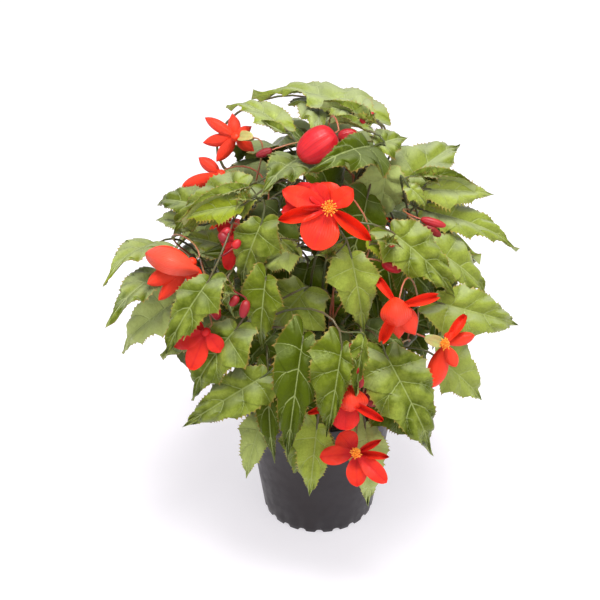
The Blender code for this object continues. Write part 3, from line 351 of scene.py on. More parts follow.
# Base pixel, millimetres behind the shell, tip pixel, length, width, roll and the big lobe's side.
# A negative length means that the tip leans towards the viewer.
FRONT_LEAVES_MM = (
    Leaf("t1", (368, 118), 46, (251, 88), 98, 50, 4, 1, "leaf"),
    Leaf("t2", (282, 127), 34, (225, 99), 56, 28, 10, 1, "small"),
    Leaf("t3", (320, 102), 60, (318, 140), -56, 46, 0, 1, "small"),
    Leaf("t4", (298, 159), 22, (261, 193), -52, 40, 0, -1, "small"),
    Leaf("t5", (366, 116), 20, (319, 104), 46, 34, 0, 1, "young"),
    Leaf("t5b", (370, 131), 6, (328, 120), 40, 14, 30, 1, "young"),
    Leaf("t7", (372, 146), 14, (309, 169), -62, 56, 0, -1, "small"),
    Leaf("t8", (386, 168), 26, (373, 226), 58, 46, 0, 1, "small"),
    Leaf("r1", (405, 182), 34, (464, 140), 72, 46, 0, -1, "small"),
    Leaf("r2", (428, 189), 30, (499, 194), 62, 26, 20, 1, "young"),
    Leaf("r2b", (430, 202), 24, (467, 197), 32, 10, 20, 1, "young"),
    Leaf("r2c", (409, 187), 20, (428, 210), 26, 16, 0, 1, "small"),
    Leaf("r3", (425, 211), 24, (521, 249), 88, 34, 0, -1, "leaf"),
    Leaf("r4", (392, 232), 8, (457, 298), 80, 56, 0, 1, "leaf"),
    Leaf("r5", (436, 250), 40, (491, 300), 68, 42, 0, -1, "small"),
    Leaf("r6", (440, 303), 22, (528, 327), 88, 48, 0, 1, "leaf"),
    Leaf("r7", (398, 262), 46, (436, 300), 48, 34, 0, 1, "small"),
    Leaf("r8", (370, 240), 6, (422, 256), 44, 22, 0, 1, "young"),
    Leaf("r9", (440, 360), 28, (483, 401), 60, 42, 0, -1, "small"),
    Leaf("r10", (425, 235), 58, (478, 262), 58, 30, 0, 1, "small"),
    Leaf("lr1", (386, 355), 14, (437, 461), 96, 68, 0, 1, "leaf"),
    Leaf("lr2", (385, 392), 34, (424, 440), 56, 46, 0, 1, "small"),
    Leaf("c15", (365, 425), 22, (369, 512), 78, 42, 0, 1, "small"),
    Leaf("c1", (351, 255), 8, (364, 336), 68, 44, 0, 1, "small"),
    Leaf("c2", (306, 289), 40, (270, 335), 60, 58, 0, -1, "small"),
    Leaf("c3", (325, 298), 50, (330, 330), 40, 44, 0, 1, "small"),
    Leaf("c4", (262, 222), 16, (240, 292), 64, 44, 0, -1, "small"),
    Leaf("c5", (266, 277), 12, (261, 354), 66, 32, 0, 1, "small"),
    Leaf("c6", (297, 247), 6, (251, 270), 42, 26, 0, -1, "young"),
    Leaf("c11", (303, 338), 8, (286, 466), 98, 46, 0, 1, "leaf"),
    Leaf("c12", (342, 346), -6, (326, 441), 76, 54, 0, 1, "leaf"),
    Leaf("c13", (361, 349), 4, (353, 404), 44, 24, 0, 1, "small"),
    Leaf("c14", (317, 426), 12, (309, 500), 66, 34, 0, 1, "small"),
    Leaf("c16", (306, 425), 34, (300, 482), 60, 44, 0, -1, "small"),
    Leaf("c7", (237, 328), 16, (188, 402), 72, 54, 0, -1, "small"),
    Leaf("c8", (264, 376), 20, (177, 430), 84, 46, 0, -1, "leaf"),
    Leaf("c9", (261, 421), 30, (245, 481), 52, 28, 0, 1, "small"),
    Leaf("c10", (268, 370), 30, (274, 467), 78, 26, 0, 1, "small"),
    Leaf("ll1", (158, 243), 22, (102, 280), -66, 38, 0, -1, "small"),
    Leaf("ll2", (165, 272), 26, (105, 323), -70, 40, 0, -1, "small"),
    Leaf("ll3", (175, 302), 34, (115, 354), 70, 40, 0, 1, "small"),
    Leaf("ll4", (209, 280), 6, (163, 359), 74, 42, 0, -1, "small"),
    Leaf("ll5", (195, 225), 56, (153, 218), 40, 24, 0, 1, "small"),
    Leaf("ll6", (226, 246), 40, (182, 236), 40, 24, 0, 1, "small"),
    Leaf("ll7", (232, 268), 34, (216, 290), 26, 22, 0, 1, "small"),
    Leaf("l1", (200, 205), 42, (152, 201), 48, 28, 0, 1, "small"),
    Leaf("l2", (248, 186), 16, (165, 236), 84, 50, 0, -1, "leaf"),
    Leaf("l3", (243, 205), 20, (171, 220), 60, 24, 0, 1, "young"),
    Leaf("l4", (215, 297), 2, (181, 340), 44, 12, 20, 1, "young"),
)

# Centre pixel, millimetres behind the shell, how far the tips lie behind the centre,
# each petal's tip pixel and width, and where the pedicel arrives from
BLOOMS_MM = (
    Bloom("bloom_centre", (329, 208), -12, -5,
          (((278, 220), 16), ((313, 248), 27), ((371, 240), 16), ((322, 183), 22),
           ((352, 190), 14), ((284, 191), 15)), (0.0, 1.0, 0.2), True),
    Bloom("bloom_top_left", (236, 137), 34, 10,
          (((204, 117), 10), ((232, 112), 11), ((202, 143), 11), ((216, 162), 11),
           ((255, 152), 11), ((252, 126), 9)), (0.8, -0.6, 0.3), False),
    Bloom("bloom_left_high", (221, 174), 60, 6,
          (((198, 157), 11), ((181, 187), 12), ((226, 196), 12)),
          (0.6, 0.8, 0.2), False),
    Bloom("bloom_left", (192, 262), 8, 4,
          (((145, 253), 19), ((147, 284), 15), ((158, 301), 12), ((196, 287), 14)),
          (0.8, 0.3, 0.5), False),
    Bloom("bloom_left_low", (206, 332), 2, 4,
          (((171, 345), 14), ((190, 371), 15), ((186, 320), 10), ((222, 352), 12)),
          (0.6, 0.6, 0.5), False),
    Bloom("bloom_right", (398, 306), -8, 14,
          (((372, 272), 10), ((438, 296), 12), ((381, 343), 13), ((416, 336), 19),
           ((399, 340), 18)), (0.2, 0.7, 0.8), False),
    Bloom("bloom_far_right", (445, 344), 4, 2,
          (((475, 335), 11), ((466, 314), 12), ((432, 388), 17), ((456, 367), 11),
           ((452, 332), 9)), (-0.8, -0.1, 0.4), True),
    Bloom("bloom_low", (346, 400), -10, 4,
          (((345, 431), 20), ((384, 421), 10), ((307, 414), 8), ((333, 391), 13),
           ((358, 387), 11)), (0.0, 1.0, -0.25), False),
    Bloom("bloom_lowest", (356, 453), -14, -4,
          (((320, 457), 14), ((340, 433), 18), ((381, 440), 8), ((389, 457), 9),
           ((357, 486), 15), ((386, 482), 13)), (0.0, 1.0, -0.25), True),
    Bloom("bloom_inner_left", (236, 238), 24, 6,
          (((227, 271), 12), ((217, 222), 10), ((220, 244), 11), ((243, 262), 10)),
          (0.6, 0.8, 0.3), False),
)

# Pixels of the stalk end and of the tip, millimetres behind the shell, width
BUDS_MM = (
    Bud("bud_large", (335, 133), (299, 158), -8, 24),
    Bud("bud_crimson", (338, 137), (357, 133), 14, 9),
    Bud("bud_dark_left", (272, 150), (256, 156), 24, 6),
    Bud("bud_right_upper", (421, 219), (446, 226), 14, 6),
    Bud("bud_right_lower", (424, 226), (441, 236), 24, 6),
    Bud("bud_behind_bloom", (352, 198), (341, 186), 10, 8),
    Bud("bud_dark_low", (369, 388), (373, 407), 6, 10),
    Bud("bud_middle_right", (382, 262), (401, 271), 16, 8),
    Bud("bud_left", (212, 300), (218, 320), 22, 8),
)

# The hidden back of the plant, by rule
BACK_LEAVES = 27
BACK_FROM = -10
BACK_SPAN = 200
BACK_TURN = 0.618
BACK_START = 0.3
BACK_SIDE_FALL = 0.35
BACK_LENGTHS = (0.074, 0.104)
BACK_WIDTH_SHARES = (0.66, 0.80)
BACK_SWING = 25
BACK_DROOPS = (62, 20)
BACK_FACE_UP = 0.8
BACK_LOWEST = 0.100
BACK_HIGHEST = 0.290
BACK_SEED = 7
BACK_INWARD = (0, 5, 10, 16, 24)
BACK_TURNS = (0, 4, -4, 8, -8, 14, -14)
BACK_TILTS = (0, 6, -6, 12, -12)
BACK_ROLLS = (0, 12, -12)
SIDE_TUCK = 0.88
BACK_BLOOMS_MM = (
    ("bloom_back_left", (-76, 98, 205)),
    ("bloom_back_right", (72, 104, 205)),
    ("bloom_back_low", (16, 124, 190)),
)

# How an outline is cut: ribs along the midrib, lobe lengths and half widths of the big and the small
# side, tooth depth, arch of the midrib, fold of the halves, where it is widest, how much it tapers
Kind = namedtuple("Kind", "ribs lobes halves tooth arch fold widest taper thickness")
KINDS = {
    "leaf": Kind(5, (0.30, 0.15), (0.50, 0.42), 0.13, 0.09, 0.24, 0.60, 0.35, LEAF_THICKNESS),
    "small": Kind(4, (0.28, 0.12), (0.50, 0.42), 0.15, 0.09, 0.24, 0.60, 0.35, LEAF_THICKNESS),
    "back": Kind(3, (0.28, 0.12), (0.50, 0.42), 0.12, 0.09, 0.24, 0.60, 0.35, LEAF_THICKNESS),
    "young": Kind(4, (0.16, 0.08), (0.52, 0.46), 0.16, 0.06, 0.45, 0.62, 0.25, LEAF_THICKNESS),
    "petal": Kind(2, (0.0, 0.0), (0.50, 0.50), 0.0, -0.08, 0.20, 0.86, 0.0, PETAL_THICKNESS),
}

Route = namedtuple("Route", "name ends seat radii")
PLANTED = []

# Petals that only the fine blooms have: base and tip pixels, width, how far ahead of the core, style
EXTRA_PETALS_MM = {
    "bloom_centre": (((329, 208), (281, 212), 15, -3, "petal"),
                     ((329, 208), (284, 197), 17, -4, "petal"),
                     ((329, 208), (295, 185), 15, -2, "petal"),
                     ((329, 208), (312, 184), 14, 3, "petal")),
    "bloom_right": (((395, 297), (397, 327), 22, 2, "cup"),),
    "bloom_low": (((350, 387), (350, 412), 26, 2, "cup"),),
    "bloom_left": (((199, 272), (145, 253), 18, 2, "cup"),),
}

# Folded young leaves, and where the growing tips are
YOUNG_LEAVES_MM = (
    Leaf("fold_left", (248, 187), 8, (178, 219), 58, 11, 25, -1, "folded"),
    Leaf("fold_right", (412, 176), 18, (478, 187), 54, 12, -20, 1, "folded"),
    Leaf("fold_top", (372, 122), 8, (322, 104), 42, 12, 10, 1, "folded"),
    Leaf("fold_top_low", (366, 130), 4, (330, 118), 32, 9, 20, 1, "folded"),
    Leaf("lobe_top", (376, 145), 10, (408, 137), 29, 26, 0, 1, "young"),
    Leaf("fold_brown", (283, 133), 30, (261, 122), 20, 8, 0, 1, "folded"),
    Leaf("fold_shade", (281, 240), 0, (299, 256), 20, 8, 0, 1, "folded"),
    Leaf("fold_low", (364, 336), -8, (356, 400), 48, 15, 20, 1, "folded"),
    Leaf("fold_side", (233, 290), 2, (213, 300), 22, 9, 0, 1, "folded"),
)
TUFTS_MM = (("tip_top", (369, 123), 4), ("tip_right", (388, 243), 2), ("tip_left", (230, 292), 4),
            ("tip_low", (352, 352), -4), ("tip_far_right", (428, 182), 20),
            ("tip_far_left", (246, 200), 12), ("tip_inner", (330, 256), 6))

# Blooms that show their backs, and how dark single buds are
BACK_SEEN_BLOOMS = ("bloom_top_left", "bloom_left", "bloom_right", "bloom_far_right", "bloom_left_high")
BUD_TONES = {"bud_dark_left": 0.7, "bud_dark_low": 0.75, "bud_behind_bloom": 0.8,
             "bud_right_upper": 0.4, "bud_right_lower": 0.8, "bud_left": 0.3, "bud_large": 0.0,
             "bud_crimson": 0.35}

# Petals that are folded into slender arms, by their place in the bloom's list
ARMS = {"bloom_centre": (2, 4), "bloom_right": (0, 1, 4), "bloom_low": (1, 3), "bloom_lowest": (4, 5),
        "bloom_far_right": (0,)}

# How much of the width of a folded leaf's halves shows: the one at the upper left, then the other
FOLDED_SHARES = {"c12": (0.84, 0.44), "t7": (0.50, 0.95), "c11": (0.86, 0.86), "r4": (0.86, 0.76),
                 "c7": (0.88, 0.88), "c8": (0.88, 0.88), "lr1": (0.84, 0.84), "ll4": (0.85, 0.85),
                 **dict.fromkeys(("r6", "c1", "c4", "r5", "c15", "l2"), (0.9, 0.9))}

# How crimson the petals of single blooms are
BLOOM_DEPTHS = {"bloom_inner_left": 0.8, "bloom_left_low": 0.3, "bloom_low": 0.2, "bloom_lowest": 0.1}

# Small bracts and buds that only the fine plant has: base and tip pixels, depth behind the shell, width
BRACTS_MM = (((350, 344), (353, 362), -5, 7), ((356, 352), (357, 374), -4, 7),
             ((349, 362), (346, 382), -4, 6), ((357, 372), (361, 388), -2, 7),
             ((368, 121), (373, 112), 4, 5), ((366, 124), (360, 118), 3, 4),
             ((222, 238), (230, 228), 8, 7), ((228, 242), (219, 233), 8, 7),
             ((233, 248), (240, 240), 8, 6), ((247, 300), (242, 318), 8, 7),
             ((238, 296), (230, 306), 6, 6), ((389, 246), (396, 240), 3, 5))

# Colours that no setting changes, and how salmon the cups are
PETAL_SALMON = (0.86, 0.15, 0.09)
OVARY_BLUSH = (0.40, 0.31, 0.10)
PEDICEL_PINK = (0.380, 0.085, 0.040)
PEDICEL_TAN = (0.260, 0.150, 0.055)
# Grey-green of the painted sheen: stands in for the light that falls on the up-facing parts of lit
# leaves
PAINTED_SHEEN_GREEN = (0.300, 0.332, 0.196)
ANTHER_DEEP = (0.90, 0.28, 0.02)
SALMON_CUPS = {"bloom_left": 0.4, "bloom_right": 0.0}

# How much larger single heads of stamens are
STAMEN_SIZES = {"bloom_centre": 1.4, "bloom_lowest": 1.1}

# The studio: the colour of its light and floor, and each lamp's place, width and share of the key's
ROOM_COLOUR = (0.98, 0.96, 1.0, 1.0)
FLOOR_SHADE = (0.46, 0.44, 0.46)
FLOOR_GLOW = 0.56
LIGHT_TARGET = Vector((0, 0, 0.18))
LIGHTS = (
    ("key_light", (0.10, -0.45, 1.9), 0.9, 1.0),
    ("right_light", (1.5, -1.2, 1.2), 2.4, 0.28),
    ("left_light", (-1.5, -1.0, 1.1), 2.4, 0.20),
    ("front_light", (0.1, -2.0, 0.9), 2.0, 0.14),
)


def around(radius, angle, height=0.0):
    """The point at a radius, an angle and a height about Z."""
    return Vector((radius * math.cos(angle), radius * math.sin(angle), height))


def tapered(radii, count):
    """A number of radii that change evenly from the first to the second."""
    first, second = radii
    return [first + (second - first) * number / (count - 1) for number in range(count)]


def turned(profile, segments):
    """Verts and quads of a profile of (radius, height), from axis to axis, turned about Z."""
    verts = []
    faces = []
    rows = len(profile)
    for step in range(segments):
        verts += [around(radius, 2 * math.pi * step / segments, height) for radius, height in profile]
        here = step * rows
        there = (step + 1) % segments * rows
        for row in range(rows - 1):
            faces.append((here + row, there + row, there + row + 1, here + row + 1))
    return verts, faces


def tube(points, radii, sides):
    """Verts and faces of a closed tube along points, without twist."""
    verts = []
    faces = []
    count = len(points)
    across = None
    for index, point in enumerate(points):
        ahead = points[min(index + 1, count - 1)] - points[max(index - 1, 0)]
        ahead.normalize()
        if across is None:
            across = ahead.orthogonal().normalized()
        across = (across - ahead * across.dot(ahead)).normalized()
        beside = ahead.cross(across)
        for side in range(sides):
            angle = 2 * math.pi * side / sides
            spoke = across * math.cos(angle) + beside * math.sin(angle)
            verts.append(point + spoke * radii[index])
    for index in range(count - 1):
        for side in range(sides):
            after = (side + 1) % sides
            here = index * sides
            faces.append((here + side, here + after, here + sides + after, here + sides + side))
    faces.append(tuple(range(sides)))
    faces.append(tuple(range((count - 1) * sides, count * sides)))
    return verts, faces


def bezier(ends, share):
    """A point on a cubic through four control points."""
    start, first, second, end = ends
    left = 1 - share
    return (start * left ** 3 + first * (3 * left * left * share)
            + second * (3 * left * share * share) + end * share ** 3)


def curve(ends, steps):
    """Evenly stepped points on a cubic."""
    return [bezier(ends, step / steps) for step in range(steps + 1)]


def sight_line(pixel):
    """The direction from the reference view's eye to a pixel."""
    right, down = ((step - VIEW_PIXELS / 2) / VIEW_FOCAL_PIXELS for step in pixel)
    ray = Vector((1, 0, 0)) * right - VIEW_OVER * down - VIEW_BACK
    return ray.normalized()


def on_shell(pixel, behind):
    """The point that a pixel shows, a distance behind the bush's outer shell."""
    ray = sight_line(pixel)
    start = Vector(a / b for a, b in zip(VIEW_EYE - SHELL_CENTRE, SHELL_RADII))
    along = Vector(a / b for a, b in zip(ray, SHELL_RADII))
    square = along.dot(along)
    middle = start.dot(along)
    depth = middle * middle - square * (start.dot(start) - 1)
    reach = (-middle - math.sqrt(max(depth, 0))) / square
    return VIEW_EYE + ray * (reach + behind)


def on_sight_line(pixel, anchor, length):
    """The point on a pixel's sight line at a length from an anchor, nearer the eye if negative."""
    ray = sight_line(pixel)
    nearest = (anchor - VIEW_EYE).dot(ray)
    miss = (VIEW_EYE + ray * nearest - anchor).length
    slide = math.sqrt(max(length * length - miss * miss, 0))
    return VIEW_EYE + ray * (nearest + math.copysign(slide, length))


def at_depth(pixel, place, farther):
    """The point that a pixel shows as far away as a place is, or farther by a distance."""
    ray = sight_line(pixel)
    return VIEW_EYE + ray * ((place - VIEW_EYE).dot(ray) + farther)


def outward(point):
    """The shell's outward direction at a point."""
    away = Vector(a / (b * b) for a, b in zip(point - SHELL_CENTRE, SHELL_RADII))
    return away.normalized()


class Blade:
    """A leaf or petal: its axis, facing and outline."""

    def __init__(self, base, tip, facing, width, kind, lobe=1, roll=0.0, style=None):
        self.base = base
        self.length = (tip - base).length
        self.axis = (tip - base).normalized()
        flat = (facing - self.axis * facing.dot(self.axis)).normalized()
        self.normal = Matrix.Rotation(roll, 3, self.axis) @ flat
        self.side = self.axis.cross(self.normal)
        self.width = width
        self.kind = KINDS[kind]
        self.style = style or kind
        self.lobe = lobe

    def place(self, along, across):
        """A point of the middle surface; along runs 0 to 1, across is in metres."""
        kind = self.kind
        rise = kind.arch * self.length * 4 * along * (1 - along) + kind.fold * abs(across)
        return self.base + self.axis * along * self.length + self.side * across + self.normal * rise

    def edge(self, share, hand, tooth):
        """A point of the outline on one hand, from the stalk at 0 to the tip at 1."""
        kind = self.kind
        which = 0 if hand == self.lobe else 1
        lobe = kind.lobes[which] * math.sin(math.pi * share ** LOBE_PEAK) * (1 - share) ** 2
        swell = math.sin(math.pi * share ** kind.widest)
        swell *= 1 - kind.taper * share
        across = self.width * kind.halves[which] * swell * (1 + kind.tooth * tooth)
        along = share - lobe + TOOTH_SWEEP * kind.tooth * tooth * (1 - share) * share
        return self.place(along, hand * across)

    def mesh(self, extra=0.0):
        """Verts and faces of the closed blade, both faces split alike."""
        ribs = self.kind.ribs
        steps = 2 * ribs
        points = [self.place(rib / ribs, 0.0) for rib in range(ribs + 1)]
        for hand in (1, -1):
            for step in range(1, steps):
                share = (step / steps) ** BASE_CROWDING
                points.append(self.edge(share, hand, 1 if step % 2 else -1))
        half = self.normal * (self.kind.thickness / 2 + extra)
        count = len(points)
        verts = [point + half for point in points] + [point - half for point in points]
        faces = []
        for hand in (0, 1):
            start = ribs + 1 + hand * (steps - 1)
            ring = [0, *range(start, start + steps - 1), ribs]
            for rib in range(ribs):
                low, high = rib, rib + 1
                first, second, third = ring[2 * rib:2 * rib + 3]
                for face in ((low, first, second), (low, second, high), (high, second, third)):
                    if len(set(face)) == 3:
                        faces.append(face)
                        faces.append(tuple(count + corner for corner in reversed(face)))
            for a, b in zip(ring, ring[1:]):
                faces.append((a, b, count + b, count + a))
        return verts, faces


class Crowd:
    """Everything placed so far, for testing whether something new is clear of it."""

    def __init__(self):
        self.verts = []
        self.faces = []
        self.owners = []
        self.tree = None

    def add(self, owner, verts, faces):
        """Puts a shape among the placed ones under its owner's name."""
        start = len(self.verts)
        self.verts.extend(verts)
        self.faces.extend(tuple(start + corner for corner in face) for face in faces)
        self.owners.extend([owner] * len(faces))
        self.tree = BVHTree.FromPolygons(self.verts, self.faces)

    def hits(self, verts, faces, ignore=()):
        """How many face pairs of a new shape touch other owners' faces."""
        pairs = BVHTree.FromPolygons(verts, faces).overlap(self.tree)
        return sum(1 for _, face in pairs if self.owners[face] not in ignore)


def nudges(*ranges):
    """Combinations of small changes, the smallest changes first."""
    combined = itertools.product(*ranges)
    return sorted(combined, key=lambda change: sum(abs(value) for value in change))


def bloom_blades(centre, petals, facing):
    """The petals of one bloom, in two layers by turns, from their tips and widths."""
    first = facing.orthogonal()
    second = facing.cross(first)

    def bearing(petal):
        away = petal[0] - centre
        return math.atan2(away.dot(second), away.dot(first))

    blades = []
    for number, (tip, width) in enumerate(sorted(petals, key=bearing)):
        level = PETAL_LAYER if number % 2 else -PETAL_LAYER
        level += (number - (len(petals) - 1) / 2) * PETAL_STEP
        layer = facing * level
        root = centre + (tip - centre).normalized() * CORE_RADIUS * PETAL_ROOT + layer
        blades.append(Blade(root, tip + layer * 2, facing, width, "petal"))
    return blades


def leaf_blade(leaf, base, tip, kind, turn):
    """The blade of a leaf from a table, turned to the light and to the reference view."""
    facing = outward((base + tip) / 2) * FACE_OUT + UP * FACE_UP
    facing -= sight_line(leaf.base) * FACE_VIEW
    return Blade(base, tip, facing, leaf.width * MM, kind, leaf.lobe, math.radians(turn), leaf.kind)


def ball(centre, radii, axis, segments, rings, pinch=1.0):
    """Verts and faces of an egg shape along an axis, pointed where pinch is below one."""
    profile = [(0.0, -1.0)]
    for ring in range(1, rings):
        angle = math.pi * ring / rings
        profile.append((math.sin(angle) ** pinch, -math.cos(angle)))
    profile.append((0.0, 1.0))
    turn = UP.rotation_difference(axis).to_matrix()
    verts, faces = turned(profile, segments)
    placed = [centre + turn @ Vector((v.x * radii[0], v.y * radii[1], v.z * radii[2])) for v in verts]
    return placed, faces


class Bush:
    """Places every stem, bloom, bud, leaf and stalk clear of the others."""

    def __init__(self):
        self.crowd = Crowd()
        self.stems = {}
        self.blooms = {}
        self.stamens = {}
        self.buds = {}
        self.leaves = {}
        self.routes = {}
        self.ovaries = {}
        self.used = set()

    def grow_stems(self):
        """The stems, each from its hole in the soil to its top."""
        for stem in STEMS_MM:
            root = Vector((*stem.root, 0)) * MM
            foot = root + UP * (SOIL_TOP - STEM_DEPTH)
            collar = root + UP * (SOIL_TOP + 2 * SOIL_BUMP)
            ends = (collar, collar + UP * STEM_UPRIGHT, Vector(stem.bend) * MM, Vector(stem.top) * MM)
            points = [foot] + curve(ends, STEM_STEPS)
            shape = tube(points, tapered(STEM_RADII, len(points)), STEM_SIDES)
            self.stems[stem.name] = (points, (foot, ends))
            self.routes[stem.name] = []
            self.ovaries[stem.name] = []
            self.crowd.add(stem.name, *shape)

    def add_bloom(self, name, centre, petals, facing, arrival, stamens):
        """One bloom: its petals, its core and, where it shows them, its stamens."""
        blades = bloom_blades(centre, petals, facing)
        self.blooms[name] = (centre, blades, arrival)
        for blade in blades:
            self.crowd.add(name, *blade.mesh())
        self.crowd.add(name, *ball(centre, (CORE_RADIUS,) * 3, facing, *CORE_MESH))
        if stamens:
            foot = centre + facing * (CORE_RADIUS + GAP)
            self.stamens[name] = (foot, facing)
            for shape in stamen_parts(foot, facing):
                self.crowd.add(name, *shape)

    def open_blooms(self):
        """The blooms that show in the reference view, then those at the back."""
        for bloom in BLOOMS_MM:
            centre = on_shell(bloom.centre, bloom.behind * MM)
            facing = -sight_line(bloom.centre)
            petals = [(at_depth(pixel, centre, bloom.spread * MM), width * MM)
                      for pixel, width in bloom.petals]
            arrival = Vector(bloom.faces).normalized()
            self.add_bloom(bloom.name, centre, petals, facing, arrival, bloom.stamens)
        for name, place in BACK_BLOOMS_MM:
            centre = Vector(place) * MM
            facing = (outward(centre) - UP * BACK_BLOOM_DROOP).normalized()
            spoke = facing.orthogonal().normalized()
            petals = []
            for petal in range(BACK_BLOOM_PETALS):
                turn = Matrix.Rotation(2 * math.pi * petal / BACK_BLOOM_PETALS, 3, facing)
                way = (turn @ spoke * BACK_PETAL_OUT + facing * BACK_PETAL_AHEAD).normalized()
                petals.append((centre + way * BACK_PETAL_LENGTH, BACK_PETAL_WIDTH))
            self.add_bloom(name, centre, petals, facing, -facing, False)

    def hang_buds(self):
        """The buds, as flattened eggs from their stalk end to their tip."""
        for bud in BUDS_MM:
            base = on_shell(bud.base, bud.behind * MM)
            tip = on_sight_line(bud.tip, base, BUD_LEAN)
            axis = (tip - base).normalized()
            middle = (base + tip) / 2
            half = (tip - base).length / 2
            width = bud.width * MM / 2
            self.buds[bud.name] = (base, axis, middle, half, width)
            radii = (width, width * BUD_FLATNESS, half)
            self.crowd.add(bud.name, *ball(middle, radii, axis, *EGG_MESH, BUD_PINCH))

    def settle(self, name, options):
        """Keeps the first option that is clear of the crowd, or else the one that touches least."""
        best = None
        for blade in options:
            touches = self.crowd.hits(*blade.mesh(CLEARANCE))
            if best is None or touches < best[0]:
                best = (touches, blade)
            if touches == 0:
                break
        self.leaves[name] = best[1]
        self.crowd.add(name, *best[1].mesh())

    def spread_front_leaves(self):
        """The leaves of the table, each as near to its row as the others allow."""
        changes = nudges(FRONT_SHIFTS_MM, FRONT_LEANS_MM, FRONT_ROLLS)
        for leaf in FRONT_LEAVES_MM:
            self.settle(leaf.name, self.front_options(leaf, changes))

    def front_options(self, leaf, changes):
        """A table leaf's blade under each change of depth, lean and roll."""
        for shift, lean, roll in changes:
            base = on_shell(leaf.base, (leaf.behind + shift) * MM)
            tip = on_sight_line(leaf.tip, base, leaf.length * MM) + sight_line(leaf.tip) * lean * MM
            yield leaf_blade(leaf, base, tip, leaf.kind, leaf.roll + roll)

    def spread_back_leaves(self):
        """Leaves over the back and sides by rule, in rising order round the stems."""
        chance = random.Random(BACK_SEED)
        low_droop, high_droop = BACK_DROOPS
        for number in range(BACK_LEAVES):
            part = (number + 0.5) / BACK_LEAVES
            azimuth = math.radians(BACK_FROM + BACK_SPAN * ((number * BACK_TURN + BACK_START) % 1.0))
            fall = 1 - BACK_SIDE_FALL * abs(math.cos(azimuth)) ** 2
            height = BACK_LOWEST + (BACK_HIGHEST - BACK_LOWEST) * part * fall
            length = chance.uniform(*BACK_LENGTHS)
            swing = math.radians(chance.uniform(-BACK_SWING, BACK_SWING))
            droop = math.radians(low_droop + (high_droop - low_droop) * part)
            width = length * chance.uniform(*BACK_WIDTH_SHARES)
            sizes = (azimuth, height, length, swing, droop, width, chance.choice((-1, 1)))
            self.settle("back_{}".format(number), self.back_options(*sizes))

    def back_options(self, azimuth, height, length, swing, droop, width, lobe):
        """A back leaf's blade under each change of depth, bearing, tilt and roll."""
        level = (height - SHELL_CENTRE.z) / SHELL_RADII.z
        reach = math.sqrt(1 - level * level)
        for inward, turn, tilt, roll in nudges(BACK_INWARD, BACK_TURNS, BACK_TILTS, BACK_ROLLS):
            bearing = azimuth + math.radians(turn)
            tip = Vector((SHELL_RADII.x * SIDE_TUCK * reach * math.cos(bearing),
                          BACK_REACH * reach * math.sin(bearing), height))
            flat = around(1, bearing + swing)
            angle = droop + math.radians(tilt)
            way = flat * math.cos(angle) - UP * math.sin(angle)
            tip = tip - flat * inward * MM
            base = tip - way * length
            facing = outward((base + tip) / 2) + UP * BACK_FACE_UP
            yield Blade(base, tip, facing, width, "back", lobe, math.radians(roll))

    def run_stalk(self, name, end, arrive, seat, radii):
        """Runs a stalk from the best stem to a place, by a bend that is clear of the crowd."""
        starts = []
        for stem, (points, _) in self.stems.items():
            for index in range(2, len(points)):
                for share in STALK_START_SHARES:
                    start = points[index - 1].lerp(points[index], 1.0 - share)
                    if (stem, round(start.z, 5)) in self.used:
                        continue
                    reach = (end - start).length
                    above = max(0.0, start.z - end.z)
                    score = abs(reach - STALK_LENGTH) + STALK_FALL_COST * above
                    starts.append((score, stem, index, start))
        starts.sort(key=lambda choice: choice[0])
        bends = [Vector()]
        for size, axis, sign in itertools.product(STALK_BENDS, range(3), (1, -1)):
            bends.append(Vector())
            bends[-1][axis] = sign * size
        best = None
        for _, stem, index, start in starts[:STALK_STARTS]:
            rise = (self.stems[stem][0][index] - self.stems[stem][0][index - 1]).normalized()
            reach = (end - start).length
            for bend in bends:
                first = start + (rise + UP) * STALK_LEAVES_STEM * reach + bend
                second = end + arrive * STALK_REACHES_END * reach + bend
                ends = (start, first, second, end)
                points = curve(ends, STALK_STEPS)
                if seat is not None:
                    points.append(seat)
                sizes = tapered(radii, len(points))
                wide = [size + STALK_CLEARANCE for size in sizes]
                touches = self.crowd.hits(*tube(points, wide, STALK_SIDES), ignore=(stem, name))
                clear_of_own = tube(points[:-1], wide[:-1], STALK_SIDES)
                touches += self.crowd.hits(*clear_of_own, ignore=(stem,))
                if best is None or touches < best[0]:
                    best = (touches, stem, points, sizes, ends)
                if touches == 0:
                    break
            if best[0] == 0:
                break
        _, stem, points, sizes, ends = best
        self.used.add((stem, round(points[0].z, 5)))
        self.crowd.add(stem, *tube(points, sizes, STALK_SIDES))
        self.routes[stem].append(Route(name, ends, seat, radii))
        return stem

    def run_stalks(self):
        """Pedicels to the blooms and buds, then a stalk to each leaf."""
        away = CORE_RADIUS + GAP
        for name, (centre, _, arrival) in self.blooms.items():
            if name in OVARY_BLOOMS:
                middle = centre + arrival * (away + OVARY_LENGTH / 2)
                half = (OVARY_WIDTH / 2, OVARY_WIDTH / 2, OVARY_LENGTH / 2)
                end = centre + arrival * (away + OVARY_LENGTH)
                stem = self.run_stalk(name, end, arrival, middle, PEDICEL_RADII)
                self.ovaries[stem].append((middle, arrival))
                self.crowd.add(stem, *ball(middle, half, arrival, *EGG_MESH))
            else:
                seat = centre + arrival * away
                self.run_stalk(name, seat + arrival * PEDICEL_STRAIGHT, arrival, seat, PEDICEL_RADII)
        for name, (base, axis, _, _, _) in self.buds.items():
            seat = base - axis * GAP
            self.run_stalk(name, seat - axis * PEDICEL_STRAIGHT, -axis, seat, PEDICEL_RADII)
        for name, blade in self.leaves.items():
            self.run_stalk(name, blade.base, -blade.axis, None, STALK_RADII)

